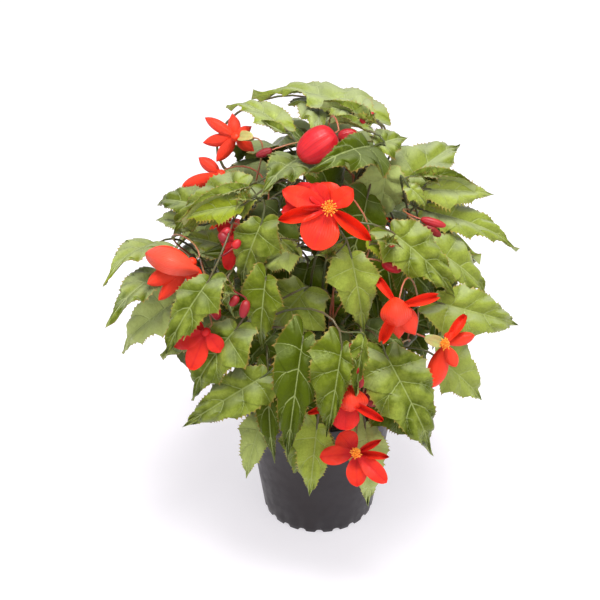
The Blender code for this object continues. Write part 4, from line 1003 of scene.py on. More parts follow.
    def extra_petals(self, name, centre):
        """Petals that only the fine bloom has, from its core or across it as a cup."""
        for base, tip, width, ahead, style in EXTRA_PETALS_MM.get(name, ()):
            start, end = (at_depth(pixel, centre, -ahead * MM) for pixel in (base, tip))
            if style != "cup":
                start = centre + (end - centre).normalized() * CORE_RADIUS * PETAL_ROOT
            blade = Blade(start, end, (VIEW_EYE - centre).normalized(), width * MM, "petal", style=style)
            if style == "cup":
                blade.kind = blade.kind._replace(arch=CUP_BULGE, fold=0.0)
            yield blade

    def small_bracts(self):
        """Where the small bracts and youngest buds are, as the middle, axis, half length and width."""
        for base, tip, behind, width in BRACTS_MM:
            start = on_shell(base, behind * MM)
            end = on_sight_line(tip, start, BRACT_LEAN)
            _, _, root, rise = self.nearest_stalk(start)
            axis = (end - start).normalized()
            reach = (start - root).length
            ends = (root, root + rise * YOUNG_STALK_BEND * reach,
                    start - axis * YOUNG_STALK_BEND * reach, start + axis * MM)
            yield (start + end) / 2, axis, (end - start).length / 2, width * MM / 2, ends

    def spread_young_leaves(self):
        """Folded young leaves, and tufts of the smallest ones at the growing tips."""
        for leaf in YOUNG_LEAVES_MM:
            base = on_shell(leaf.base, leaf.behind * MM)
            tip = on_sight_line(leaf.tip, base, leaf.length * MM)
            self.add_young(leaf.name, leaf_blade(leaf, base, tip, "young", leaf.roll))
        chance = random.Random(TUFT_SEED)
        for name, pixel, behind in TUFTS_MM:
            base = on_shell(pixel, behind * MM)
            out = (outward(base) + UP * TUFT_RISE - sight_line(pixel) * TUFT_TO_VIEW).normalized()
            spoke = out.orthogonal().normalized()
            for number in range(TUFT_LEAVES):
                turn = Matrix.Rotation(number * GOLDEN_TURN, 3, out)
                way = (out * chance.uniform(*TUFT_CLOSED) + turn @ spoke * TUFT_OPEN).normalized()
                length = chance.uniform(*TUFT_LENGTHS)
                facing = out - way * TUFT_FACE_BACK
                width = length * TUFT_WIDTH_SHARE
                blade = Blade(base, base + way * length, facing, width, "young", style="tuft")
                self.add_young("{}_{}".format(name, number), blade)

    def add_young(self, name, blade):
        """Adds a young leaf on a thin stalk from the nearest stalk."""
        self.leaves[name] = blade
        _, stem, start, rise = self.nearest_stalk(blade.base)
        self.add_route(name, blade, stem, start, rise, YOUNG_STALK_BEND, YOUNG_STALK_RADII)

    def fill_inside(self):
        """Shaded leaves on inner shells, which close the view between the outer ones."""
        chance = random.Random(INNER_SEED)
        places = []
        for count, share in INNER_LEAVES:
            for number in range(count):
                level = INNER_LOWEST + (INNER_HIGHEST - INNER_LOWEST) * (number + 0.5) / count
                way = around(math.sqrt(1 - level * level), number * GOLDEN_TURN, level)
                spread = Vector(a * b for a, b in zip(way, SHELL_RADII))
                places.append([SHELL_CENTRE + spread * (share + shift) for shift in INNER_SHIFTS])
        wide, high = FILL_RADII
        pixels = []
        for down in range(-high, high, FILL_STEP):
            for over in range(-wide, wide, FILL_STEP):
                if (over / wide) ** 2 + (down / high) ** 2 < 1:
                    pixels.append((FILL_MIDDLE[0] + over, FILL_MIDDLE[1] + down))
        judged = len(places) + len(pixels)
        for pixel in (*pixels, *FILL_SPOTS):
            places.append([on_shell(pixel, behind) for behind in FILL_DEPTHS])
        outer = self.crowd.tree
        for number, middles in enumerate(places):
            length, lobe = chance.uniform(*INNER_LENGTHS), chance.choice((-1, 1))
            swing = chance.uniform(-INNER_SWING, INNER_SWING)
            length = length if number < judged else SPOT_LENGTH
            for blade in self.inner_options(middles, length, lobe, swing):
                hidden = number >= judged or self.covered(outer, blade)
                if hidden and self.crowd.hits(*blade.mesh()) == 0:
                    name = "inner_{}".format(number)
                    self.leaves[name] = blade
                    self.crowd.add(name, *blade.mesh())
                    self.route_inside(name, blade)
                    break

    def covered(self, outer, blade):
        """Whether the outer leaves hide most of a blade, from outside and in the reference view."""
        points = [blade.base, blade.base + blade.axis * blade.length]
        points += [blade.place(0.5, across * blade.width) for across in COVER_PROBES]
        hidden = 0
        for point in points:
            ways = (outward(point), VIEW_EYE - point)
            hidden += all(outer.ray_cast(point, way)[0] is not None for way in ways)
        return hidden >= COVER_NEEDED

    def inner_options(self, middles, length, lobe, swing):
        """An inner leaf's blade under each change of depth, droop and roll."""
        for middle, droop, roll in itertools.product(middles, INNER_DROOPS, INNER_ROLLS):
            out = outward(middle)
            aside = out.cross(UP).normalized()
            axis = (out * INNER_OUT - UP * droop + aside * swing).normalized()
            base, tip = middle - axis * length / 2, middle + axis * length / 2
            facing = out + UP * INNER_FACE_UP
            width = length * INNER_WIDTH_SHARE
            yield Blade(base, tip, facing, width, "back", lobe, math.radians(roll), "inner")

    def nearest_stalk(self, place):
        """How far the nearest stalk is, its stem, the place on it and which way it runs there."""
        choices = []
        for stem, routes in self.routes.items():
            for route in routes:
                for step in range(1, NEAR_STEPS):
                    start = bezier(route.ends, step / NEAR_STEPS)
                    rise = (bezier(route.ends, step / NEAR_STEPS + NEAR_AHEAD) - start).normalized()
                    choices.append(((place - start).length, stem, start, rise))
        return min(choices, key=lambda choice: choice[0])

    def route_inside(self, name, blade):
        """Adds a stalk from the nearest lower place on a stem to an inner leaf."""
        choices = []
        for stem, (points, _) in self.stems.items():
            for first, second in zip(points[2:], points[3:]):
                start = first.lerp(second, INNER_STALK_START)
                if start.z < blade.base.z - INNER_STALK_DROP:
                    rise = (second - first).normalized()
                    choices.append(((blade.base - start).length, stem, start, rise))
        if not choices:
            choices.append((0.0, "stem_crown", self.stems["stem_crown"][0][2], UP))
        _, stem, start, rise = min(choices, key=lambda choice: choice[0])
        self.add_route(name, blade, stem, start, rise, INNER_STALK_BEND, STALK_RADII)

    def add_route(self, name, blade, stem, start, rise, bend, radii):
        """Adds a stalk's route from a place on a stem or stalk to a leaf's base."""
        reach = (blade.base - start).length
        ends = (start, start + rise * bend * reach, blade.base - blade.axis * bend * reach, blade.base)
        self.routes[stem].append(Route(name, ends, None, radii))


def stamen_parts(foot, facing):
    """A short column with a head of anthers round it, from its foot."""
    parts = []
    column = [foot, foot + facing * STAMEN_LENGTH * STAMEN_COLUMN_SHARE]
    radii = (STAMEN_COLUMN, STAMEN_COLUMN * STAMEN_COLUMN_TAPER)
    parts.append(tube(column, radii, STAMEN_COLUMN_SIDES))
    spoke = facing.orthogonal().normalized()
    for number in range(STAMENS):
        turn = Matrix.Rotation(2 * math.pi * number / STAMENS, 3, facing)
        way = (facing + turn @ spoke * STAMEN_SPREAD).normalized()
        root = foot + facing * STAMEN_LENGTH * STAMEN_ROOT_SHARE
        tip = root + way * STAMEN_LENGTH * STAMEN_REACH_SHARE
        parts.append(tube([root, tip], (STAMEN_RADIUS, STAMEN_RADIUS * STAMEN_SWELL), STAMEN_SIDES))
    return parts


# How a fine blade is shaped: rows along it, columns from the midrib at 0 to the edge at 1, how high
# it is quilted and ruffled, how much its tip is drawn in, its thickness and its teeth's length,
# how far its edges rise and its tip curls, how slim it is and how much of each half's width shows
Style = namedtuple("Style", "rows across quilt ruffle draw thickness tooth cup curl slim shown",
                   defaults=(0.92, (1.0, 1.0)))
LEAF_ACROSS = (0, 0.035, 0.12, 0.24, 0.37, 0.50, 0.63, 0.76, 0.88, 0.965, 1)
BACK_ACROSS = (0, 0.04, 0.18, 0.36, 0.54, 0.72, 0.88, 0.965, 1)
TUFT_ACROSS = (0, 0.3, 0.7, 1)
PETAL_ACROSS = (0, 0.12, 0.30, 0.50, 0.70, 0.88, 0.97, 1)
STYLES = {
    "leaf": Style(70, LEAF_ACROSS, 0.0030, 0.0034, 0.20, 0.00045, 0.0019, 0.0, -0.08),
    "small": Style(56, LEAF_ACROSS, 0.0026, 0.0030, 0.20, 0.00045, 0.0018, 0.0, -0.08),
    "back": Style(48, BACK_ACROSS, 0.0024, 0.0028, 0.18, 0.00045, 0.0018, 0.0, -0.08),
    "young": Style(56, LEAF_ACROSS, 0.0018, 0.0022, 0.10, 0.00045, 0.0023, 0.0, -0.06),
    "inner": Style(30, BACK_ACROSS, 0.0022, 0.0022, 0.10, 0.00045, 0.0022, 0.0, -0.06),
    "folded": Style(36, BACK_ACROSS, 0.0010, 0.0016, 0.35, 0.00045, 0.0018, 0.45, -0.10),
    "tuft": Style(14, TUFT_ACROSS, 0.0006, 0.0010, 0.35, 0.00040, 0.0018, 0.30, -0.10),
    "petal": Style(28, PETAL_ACROSS, 0.0, 0.0024, 0.12, 0.00050, 0.0, 0.10, -0.16, 1.0),
    "arm": Style(28, PETAL_ACROSS, 0.0, 0.0014, 0.12, 0.00050, 0.0, 0.62, -0.10, 0.66),
    "bell": Style(26, PETAL_ACROSS, 0.0, 0.0012, 0.12, 0.00050, 0.0, -0.28, -0.04, 0.86),
    "cup": Style(30, PETAL_ACROSS, 0.0, 0.0004, 0.12, 0.00050, 0.0, -0.55, -0.14, 1.0),
}
VALUES = ("vein", "across", "reach", "rim", "down", "tone", "young")
LOBE_POINT = 1.05
LOBE_RISE = 0.86
LOBE_LATE = 0.22
LOBE_SHARE = 0.78
LOBE_SWEEP = 0.018
DRAW_FROM = 0.60
TAPER_POINT = 1.22
PETAL_WIDEST = 1.2
PETAL_ROUND = 0.55
MIDRIB_FOLD = 0.24
FOLD_EASE = 1.1
PETAL_FOLD = 0.12
CREASE = 0.0008
STYLE_WIDTH = 0.050
PLEAT_POINT = 0.8
VEIN_SWEEP = 3.2
VEIN_SHIFT = -0.08
TOOTH_SIZES = (0.45, 1.0)
TOOTH_BASE = 0.0012
TOOTH_LEAN = 0.95
TOOTH_FORWARD = 0.8
TOOTH_STEP = 0.4
TOOTH_RIM = 0.5
TOOTH_EASE = 1.6
TIP_CALM = 0.6
MIDRIB_HEIGHT = 0.0009
MIDRIB_WIDTH = 0.0012
MIDRIB_FADE = 0.7
VEIN_HEIGHT = 0.00018
CURL_RANGE = (0.4, 1.8)
WIDEN_POINT = 0.8
EDGE_EASE = 5
EDGE_THINNING = 0.5
QUILT_FROM_MIDRIB = 2.5
QUILT_FROM_BASE = 5
QUILT_EDGE_FADE = 0.3
EDGE_REACH = 0.99
RUFFLES = ((1.3, 1.0), (2.7, 0.6))
RUFFLE_TURN = 6.3
PETAL_VEINS = 7.5

# How yellow-green and how light single leaves are, where they differ from the rest
YOUTH = {"t2": 0.35, "t5": 0.35, "t5b": 0.5, "r2": 0.35, "r2b": 0.5, "r8": 0.8, "c6": 0.7, "c12": 0.12,
         "c14": 0.12, "c13": 0.15, "ll1": 0.35, "l3": 0.65, "l4": 0.5, "t3": 0.1, "c5": 0.1, "r4": 0.1}
# Each leaf's tone is partly its own and partly painted light and shade: leaves that lie in shade are
# made lighter, and some others darker where shade falls on them
LEAF_TONES_AND_LIGHT = {"t3": 0.5, "t8": 1.6, "r7": -1.1, "c2": 0.4, "c3": -1.0, "c10": -1.4, "ll3": 2.8,
         "ll6": 0.4, "c12": -0.35, "c14": 0.75, "c16": -0.1, "lr2": -0.8, "r10": -0.1, "c9": 1.6,
         "t1": 0.45, "r1": 0.2, "r4": 0.15, "t4": -0.4, "l2": 0.1, "c8": -0.1, "c4": -0.1,
         "c5": -0.3, "c1": 0.3, "c11": -0.9, "lr1": 0.15, "c7": 0.0, "r3": 0.5, "r6": 0.5,
         "ll5": 2.6, "ll7": -1.0, "r2": 1.2, "r5": 0.4, "r9": 0.8, "c15": 1.6, "c6": 1.5, "t5": 1.2,
         "r2b": 0.2, "t7": -0.8, "t2": 0.2, "r8": -0.9, "l3": -0.2, "t5b": 0.7, "c13": 2.3,
         "l4": 0.7, "r2c": 0.8}


def soften(share):
    """Smooth step of an array from 0 to 1."""
    share = np.clip(share, 0.0, 1.0)
    return share * share * (3 - 2 * share)


def vein_ends(down, reach):
    """How far down the edge the side vein through each place of a blade ends."""
    return 2 * down / np.maximum(reach + np.sqrt(reach ** 2 + VEIN_SWEEP * (1 - reach) * down), 1e-6)


def blade_grid(blade, style, chance):
    """The fine upper and lower surface of a blade, with the values its paint needs."""
    kind = blade.kind
    style = style._replace(curl=style.curl * chance.uniform(*CURL_RANGE))
    half_line = np.array(style.across)
    hands = np.concatenate((-half_line[:0:-1], half_line))
    down, hand = np.meshgrid(np.linspace(0, 1, style.rows + 1), hands, indexing="ij")
    reach = np.abs(hand)
    big = np.sign(hand) == blade.lobe
    share = down ** BASE_CROWDING
    phase = np.mod(kind.ribs * down + LOBE_LATE, 1)
    wave = np.where(phase < LOBE_RISE, (phase / LOBE_RISE) ** LOBE_POINT, (1 - phase) / (1 - LOBE_RISE))
    wave = (wave * 2 - 1) * LOBE_SHARE
    lobe = np.where(big, *kind.lobes) * np.sin(math.pi * share ** LOBE_PEAK) * (1 - share) ** 2
    if style.tooth:
        widest = 0.5 ** (1 / kind.widest)
        swell = np.sin(math.pi / 2 * np.minimum(1, share / widest)) ** WIDEN_POINT
        swell *= (1 - np.clip((share - widest) / (1 - widest), 0, 1)) ** TAPER_POINT
        swell *= 1 - style.draw * soften((share - DRAW_FROM) / (1 - DRAW_FROM))
    else:
        swell = np.maximum(np.sin(math.pi * share ** PETAL_WIDEST), 0) ** PETAL_ROUND
    calm = 1 - TIP_CALM * soften((share - DRAW_FROM) / (1 - DRAW_FROM))
    across = blade.width * style.slim * np.where(big, *kind.halves) * swell * reach
    across *= np.where(hand > 0, style.shown[1], style.shown[0])
    across *= 1 + kind.tooth * wave * calm
    edge = share - lobe
    if style.tooth:
        ease = np.minimum(1, EDGE_EASE * share * (1 - share))
        edge += LOBE_SWEEP * wave * ease * calm
        odd = (np.arange(style.rows + 1) % 2)[:, None] * np.where(reach > EDGE_REACH, 1.0, 0.0)
        across += style.tooth * TOOTH_STEP * odd * ease * np.minimum(1, swell * TOOTH_EASE)
    along = down * (1 - reach) + edge * reach

    vein = kind.ribs * vein_ends(down, reach) + VEIN_SHIFT
    between = 0.5 + 0.5 * np.cos(2 * math.pi * vein)
    size = blade.width / STYLE_WIDTH
    pleat = np.abs(np.cos(math.pi * vein)) ** PLEAT_POINT
    lift = style.quilt * size * pleat * soften(reach * QUILT_FROM_MIDRIB)
    lift = lift * (1 - QUILT_EDGE_FADE * reach) * soften(down * QUILT_FROM_BASE)
    lift += style.ruffle * size * reach ** 3 * (between - 0.5)
    for turns, share_of in RUFFLES:
        starts = np.where(hand > 0, chance.uniform(0, RUFFLE_TURN), chance.uniform(0, RUFFLE_TURN))
        wave = np.sin(RUFFLE_TURN * turns * down + starts)
        lift += style.ruffle * size * share_of * reach ** 2 * wave * down

    rounded = np.sqrt(across ** 2 + CREASE ** 2) - CREASE
    rise = kind.arch * blade.length * 4 * along * (1 - along)
    rise += kind.fold * rounded * (1 - FOLD_EASE * reach ** 2) + lift
    rise += (MIDRIB_FOLD if style.tooth else PETAL_FOLD) * rounded * (1 - reach)
    rise += style.cup * blade.width * reach ** 2 * np.sin(math.pi * np.minimum(1, down * 2) / 2)
    rise += style.curl * blade.length * soften((down - 0.5) / 0.5) ** 2
    axis, side, normal = (np.array(way) for way in (blade.axis, blade.side, blade.normal))
    upper = np.array(blade.base) + along[..., None] * blade.length * axis
    upper = upper + (np.sign(hand) * across)[..., None] * side + rise[..., None] * normal
    deep = style.thickness * (1 - EDGE_THINNING * reach ** 4)
    if style.tooth:
        ridge = np.exp(-(across / MIDRIB_WIDTH) ** 2) * (1 - MIDRIB_FADE * down)
        deep = deep + MIDRIB_HEIGHT * ridge + VEIN_HEIGHT * (1 - between) ** 4 * (1 - reach)
    lower = upper - deep[..., None] * normal
    lines = np.full_like(vein, kind.ribs) if style.tooth else hand * PETAL_VEINS
    values = {"vein": lines, "across": across / MM, "reach": reach, "down": down,
              "rim": np.where(reach > EDGE_REACH, TOOTH_RIM, 0.0)}
    return upper, lower, values


def unique_face(corners):
    """A face without repeated corners, or None if too few are left."""
    kept = tuple(dict.fromkeys(corners))
    return kept if len(kept) > 2 else None


def linked(name, data):
    """A new object of the scene that shows some data."""
    item = bpy.data.objects.new(name, data)
    bpy.context.scene.collection.objects.link(item)
    return item


class Piece:
    """Gathers the shapes, paints and painted values of one piece before it becomes a mesh."""

    def __init__(self):
        self.verts = []
        self.faces = []
        self.paints = []
        self.values = {name: [] for name in VALUES}

    def add(self, verts, faces, paint, **values):
        """Adds a shape in one paint. A value is one number, or one for each vertex."""
        start = len(self.verts)
        self.verts.extend(tuple(vert) for vert in verts)
        self.faces.extend(tuple(start + corner for corner in face) for face in faces)
        self.paints.extend([paint] * len(faces))
        for name in VALUES:
            given = values.get(name, 0.0)
            self.values[name].extend([given] * len(verts) if isinstance(given, (int, float)) else given)

    def add_blade(self, blade, style, chance, paints, tone=0.0, young=0.0):
        """Adds a leaf or petal: two faces, a thin edge and, on a leaf, a row of fine teeth."""
        upper, lower, values = blade_grid(blade, style, chance)
        rows, columns = upper.shape[0] - 1, upper.shape[1]
        middle = columns // 2
        count = (rows - 1) * columns + 2
        numbers = np.zeros((rows + 1, columns), int)
        numbers[1:rows] = 1 + np.arange((rows - 1) * columns).reshape(rows - 1, columns)
        numbers[rows] = count - 1
        flat = {}
        for name, grid in {"upper": upper, "lower": lower, **values}.items():
            inner = grid[1:rows].reshape((rows - 1) * columns, *grid.shape[2:])
            flat[name] = np.concatenate((grid[0, middle][None], inner, grid[rows, middle][None]))
        points = {name: np.concatenate((flat[name], flat[name])).tolist() for name in values}
        verts = flat["upper"].tolist() + flat["lower"].tolist()
        start = len(self.verts)

        def put(corners, paint):
            face = unique_face(corners)
            if face:
                self.faces.append(tuple(start + corner for corner in face))
                self.paints.append(paint)

        table = numbers.tolist()
        for row in range(rows):
            near, far = table[row], table[row + 1]
            for column in range(columns - 1):
                quad = [near[column], near[column + 1], far[column + 1], far[column]]
                if column < middle:
                    quad = quad[1:] + quad[:1]
                for corners in (quad[:3], (quad[0], quad[2], quad[3])):
                    put(corners, paints[0])
                    put([count + corner for corner in reversed(corners)], paints[1])
        for column, inside in ((0, 1), (columns - 1, columns - 2)):
            for row in range(rows):
                here, there = table[row][column], table[row + 1][column]
                if not style.tooth or row % 2 or row < 2 or row > rows - 3:
                    put((here, there, count + there, count + here), paints[0])
                    continue
                first, last = Vector(verts[here]), Vector(verts[there])
                out = (last - Vector(verts[table[row + 1][inside]])).normalized()
                out = (out + (last - first).normalized() * TOOTH_FORWARD).normalized()
                reach = TOOTH_EASE * abs(values["across"][row, column]) * MM / (blade.width / 2)
                size = style.tooth * chance.uniform(*TOOTH_SIZES)
                size = size * min(1.0, (last - first).length / TOOTH_BASE) * min(1.0, reach)
                verts.append(tuple(first.lerp(last, TOOTH_LEAN) + out * size))
                apex = len(verts) - 1
                for name in values:
                    points[name].append(1.0 if name == "rim" else points[name][there])
                for ends in ((here, there), (count + there, count + here), (count + here, here),
                             (there, count + there)):
                    put((*ends, apex), paints[0])
        self.verts.extend(verts)
        points |= {"tone": [tone] * len(verts), "young": [young] * len(verts)}
        for name in VALUES:
            self.values[name].extend(points[name])

    def make(self, name, paints, nodes, sharp=50):
        """Turns what was gathered into one object that rides the root body for its nodes."""
        mesh = bpy.data.meshes.new(name)
        mesh.from_pydata(self.verts, [], self.faces)
        for paint in paints:
            mesh.materials.append(paint)
        mesh.polygons.foreach_set("material_index", self.paints)
        for value in VALUES:
            mesh.attributes.new(value, "FLOAT", "POINT").data.foreach_set("value", self.values[value])
        shape = bmesh.new()
        shape.from_mesh(mesh)
        bmesh.ops.recalc_face_normals(shape, faces=shape.faces)
        shape.to_mesh(mesh)
        shape.free()
        mesh.shade_smooth()
        mesh.set_sharp_from_angle(angle=math.radians(sharp))
        item = linked(name, mesh)
        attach(item, "root")
        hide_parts(*nodes)
        return item


def lumpy(middle, axis, half, segments, rings, spread, facing=None):
    """A closed body along an axis whose radius is given for each share of its length and angle."""
    turn = UP.rotation_difference(axis).to_matrix()
    if facing is not None:
        across = axis.cross(facing).normalized()
        turn = Matrix((across, axis.cross(across), axis)).transposed()
    verts = [middle - axis * half]
    for ring in range(1, rings):
        share = ring / rings
        height = -math.cos(math.pi * share) * half
        for segment in range(segments):
            angle = 2 * math.pi * segment / segments
            wide, deep = spread(share, angle)
            place = Vector((math.cos(angle) * wide, math.sin(angle) * deep, height))
            verts.append(middle + turn @ place)
    verts.append(middle + axis * half)
    faces = []
    last = len(verts) - 1
    for segment in range(segments):
        after = (segment + 1) % segments
        faces.append((0, 1 + after, 1 + segment))
        for ring in range(rings - 2):
            here = 1 + ring * segments
            above = here + segments
            faces.append((here + segment, here + after, above + after, above + segment))
        here = 1 + (rings - 2) * segments
        faces.append((here + segment, here + after, last))
    return verts, faces


def bud_shape(middle, axis, half, width, segments, rings):
    """The fine shape of a bud, turned towards the reference view."""
    return lumpy(middle, axis, half, segments, rings, partial(bud_spread, width), VIEW_EYE - middle)


def hair(root, way, length, thickness):
    """One closed three-sided hair."""
    across = way.orthogonal().normalized() * thickness
    beside = way.cross(across)
    opposite = root - across * 0.5
    verts = [root + across, opposite + beside, opposite - beside, root + way * length]
    return verts, [(0, 1, 3), (1, 2, 3), (2, 0, 3), (2, 1, 0)]


def core_spread(share, angle):
    """The small round core where the petals meet."""
    wide = math.sin(math.pi * share) * CORE_RADIUS * (1 + CORE_LOBES * math.cos(5 * angle))
    return wide, wide


def bud_spread(width, share, angle):
    """A flattened, pointed bud with a groove where its two outer petals meet."""
    swell = math.sin(math.pi * share ** BUD_LOW) ** BUD_FINE_PINCH
    groove = 1 - BUD_GROOVE * math.exp(-(math.cos(angle) / BUD_GROOVE_WIDTH) ** 2)
    ribs = 1 + BUD_RIBS * math.cos(10 * angle)
    return width * swell * ribs * groove, width * BUD_FLATNESS * swell * ribs * groove


def ovary_shape(middle, axis):
    """An ovary with three broad wings."""

    def spread(share, angle):
        swell = math.sin(math.pi * share)
        wing = (1 - OVARY_WING_FALL * share) * abs(math.cos(1.5 * angle)) ** OVARY_WING_POINT
        body = OVARY_BODY * swell ** OVARY_BODY_POINT
        wide = OVARY_WIDTH / 2 * (body + wing * swell ** OVARY_WING_ROUND)
        return wide, wide

    return lumpy(middle, axis, OVARY_LENGTH / 2, *OVARY_MESH, spread)


def stem_course(bush, stem):
    """The fine centre line and radii of a stem, swollen where each stalk leaves it."""
    foot, ends = bush.stems[stem][1]
    points = [foot] + curve(ends, STEM_FINE_STEPS)
    starts = [route.ends[0] for route in bush.routes[stem]]
    radii = []
    for point, radius in zip(points, tapered(STEM_RADII, len(points))):
        near = min((point - start).length for start in starts)
        radii.append(radius * (1 + STEM_NODE_SWELL * math.exp(-(near / STEM_NODE_LENGTH) ** 2)))
    last = points[-1]
    ahead = (last - points[-2]).normalized()
    for length, share in STEM_END:
        points.append(last + ahead * length)
        radii.append(STEM_RADII[1] * share)
    return points, radii


def stalk_course(bush, route):
    """The fine centre line and radii of a stalk, run out under a leaf's midrib."""
    points = curve(route.ends, STALK_FINE_STEPS)
    if route.seat is not None:
        points.append(route.seat)
    radii = [radius * STALK_SLIMNESS for radius in tapered(route.radii, len(points))]
    flare = STALK_FLARE * route.radii[0]
    radii[0] += flare
    radii[1] += flare * STALK_FLARE_FALL
    blade = bush.leaves.get(route.name)
    if blade is not None:
        for along, share in MIDRIB_RUN:
            radius = route.radii[1] * share
            points.append(blade.place(along, 0.0) - blade.normal * radius)
            radii.append(radius)
    return points, radii


def add_hairs(piece, points, radii, count, length, chance):
    """Fine hairs that stand out from a stem or stalk."""
    for _ in range(count):
        index = chance.randrange(1, len(points) - 2)
        ahead = (points[index + 1] - points[index]).normalized()
        share = chance.random()
        turn = Matrix.Rotation(chance.uniform(0, 2 * math.pi), 3, ahead)
        out = turn @ ahead.orthogonal().normalized()
        root = points[index].lerp(points[index + 1], share) + out * radii[index] * HAIR_ROOT
        way = (out + ahead * chance.uniform(*HAIR_LEANS)).normalized()
        piece.add(*hair(root, way, length * chance.uniform(*HAIR_LENGTHS), HAIR_RADIUS), HAIR_SKIN)


def anther_spread(share, angle):
    """A small anther, pinched along its middle."""
    swell = math.sin(math.pi * share) ** ANTHER_POINT
    pinch = 1 - ANTHER_PINCH * math.exp(-(math.cos(angle) / ANTHER_PINCH_WIDTH) ** 2)
    return ANTHER_WIDTH * swell * pinch, ANTHER_WIDTH * ANTHER_FLATNESS * swell


def add_stamens(piece, foot, facing, chance, size=1.0):
    """A short column with anthers packed round its head."""
    head = STAMEN_LENGTH * STAMEN_COLUMN_SHARE * size
    column = [foot, foot + facing * head * 0.5, foot + facing * head]
    piece.add(*tube(column, COLUMN_FINE_RADII, COLUMN_FINE_SIDES), 0)
    spoke = facing.orthogonal().normalized()
    for number in range(ANTHERS):
        share = (number + 0.5) / ANTHERS
        turn = Matrix.Rotation(number * GOLDEN_TURN, 3, facing)
        rise = ANTHER_FAN[0] - share * ANTHER_FAN[1]
        way = (facing * rise + turn @ spoke * math.sqrt(share)).normalized()
        root = foot + facing * head * (1.0 - ANTHER_ROOTS * share)
        tip = root + way * STAMEN_LENGTH * size * chance.uniform(*FILAMENT_SHARES)
        piece.add(*tube([root, tip], FILAMENT_RADII, FILAMENT_SIDES), 0)
        piece.add(*lumpy(tip, way, ANTHER_HALF, *ANTHER_MESH, anther_spread), 0)


def pot_shape(segments):
    """The turned pot, its foot cut into lugs."""
    edge = POT_EDGE
    land = POT_INNER_FOOT - POT_FOOT_LAND
    rim = POT_RIM_RADIUS - POT_FOOT_TUCK
    floor = POT_INNER_FOOT + POT_SLOPE * POT_BASE_TOP
    profile = [(0.0, POT_BASE_LIFT), (land - edge, POT_BASE_LIFT), (land, POT_BASE_LIFT - edge),
               (land, edge), (land + edge, 0.0), (POT_FOOT_RADIUS - edge, 0.0), (POT_FOOT_RADIUS, edge)]
    for share in POT_WALL_ROWS:
        profile.append((POT_FOOT_RADIUS + POT_SLOPE * POT_WALL_TOP * share, POT_WALL_TOP * share))
    profile += [(POT_WALL_RADIUS + edge, POT_WALL_TOP), (rim - edge, POT_WALL_TOP),
                (rim, POT_WALL_TOP + edge), (POT_RIM_RADIUS, POT_HEIGHT - POT_LIP - edge)]
    for thick, lips, drop in POT_LIP_ROWS:
        profile.append((POT_RIM_RADIUS - POT_WALL * thick - POT_LIP * lips, POT_HEIGHT - POT_LIP * drop))
    profile += [(POT_RIM_RADIUS - POT_WALL - POT_LIP * 2, POT_WALL_TOP + POT_WALL),
                (POT_WALL_RADIUS - POT_WALL, POT_WALL_TOP), (floor, POT_BASE_TOP + edge),
                (floor - edge, POT_BASE_TOP), (0.0, POT_BASE_TOP)]
    verts = []
    for step in range(segments):
        angle = 2 * math.pi * step / segments
        phase = math.degrees(angle) / POT_LUG_PITCH
        off = abs(phase - round(phase)) * POT_LUG_PITCH
        notch = POT_LUG_NOTCH * float(soften((POT_NOTCH_HALF - off) / POT_NOTCH_SLOPE + 1))
        for row, (radius, height) in enumerate(profile):
            verts.append(around(radius, angle, height + (notch if row in POT_LUG_ROWS else 0.0)))
    return close_turned(verts, segments, len(profile))


def close_turned(verts, segments, rows):
    """The faces of a turned profile that starts and ends on the axis, its poles closed."""
    poles = (len(verts), len(verts) + 1)
    verts = verts + [verts[0].copy(), verts[rows - 1].copy()]
    faces = []
    for step in range(segments):
        here = step * rows
        there = (step + 1) % segments * rows
        for row in range(rows - 1):
            quad = [here + row, there + row, there + row + 1, here + row + 1]
            if row == 0:
                quad[0:2] = [poles[0]]
            elif row == rows - 2:
                quad[2:4] = [poles[1]]
            faces.append(tuple(quad))
    return verts, faces


def drill_holes(pot):
    """Cuts the drain holes through the pot's base."""
    drills = Piece()
    for number in range(POT_HOLES):
        place = around(1, 2 * math.pi * (number + 0.5) / POT_HOLES) * POT_HOLE_RING
        ends = [place - UP * POT_BASE_TOP, place + UP * POT_BASE_TOP * 2]
        drills.add(*tube(ends, (POT_HOLE_RADIUS, POT_HOLE_RADIUS), POT_HOLE_SIDES), 0)
    mesh = bpy.data.meshes.new("drills")
    mesh.from_pydata(drills.verts, [], drills.faces)
    cutter = linked("drills", mesh)
    boolean = pot.modifiers.new("drain_holes", "BOOLEAN")
    boolean.object = cutter
    boolean.operation = "DIFFERENCE"
    graph = bpy.context.evaluated_depsgraph_get()
    made = bpy.data.meshes.new_from_object(pot.evaluated_get(graph))
    pot.modifiers.clear()
    pot.data = made
    made.name = "nursery_pot"
    bpy.data.objects.remove(cutter)


def soil_height(x, y):
    """The uneven top of the soil, the node's waves with fine crumbs on them."""
    waves = 0.0
    for size, across, along, start, cross, down in SOIL_WAVES:
        waves += size * math.sin(x * across + y * along + start) * math.cos(x * cross + y * down)
    height = SOIL_TOP + SOIL_BUMP * waves / sum(wave[0] for wave in SOIL_WAVES)
    coarse, fine = (noise.noise(Vector((x, y, 0)) * scale) for scale in CRUMB_SCALES)
    return height + SOIL_CRUMB * (coarse + CRUMB_SHARE * fine)


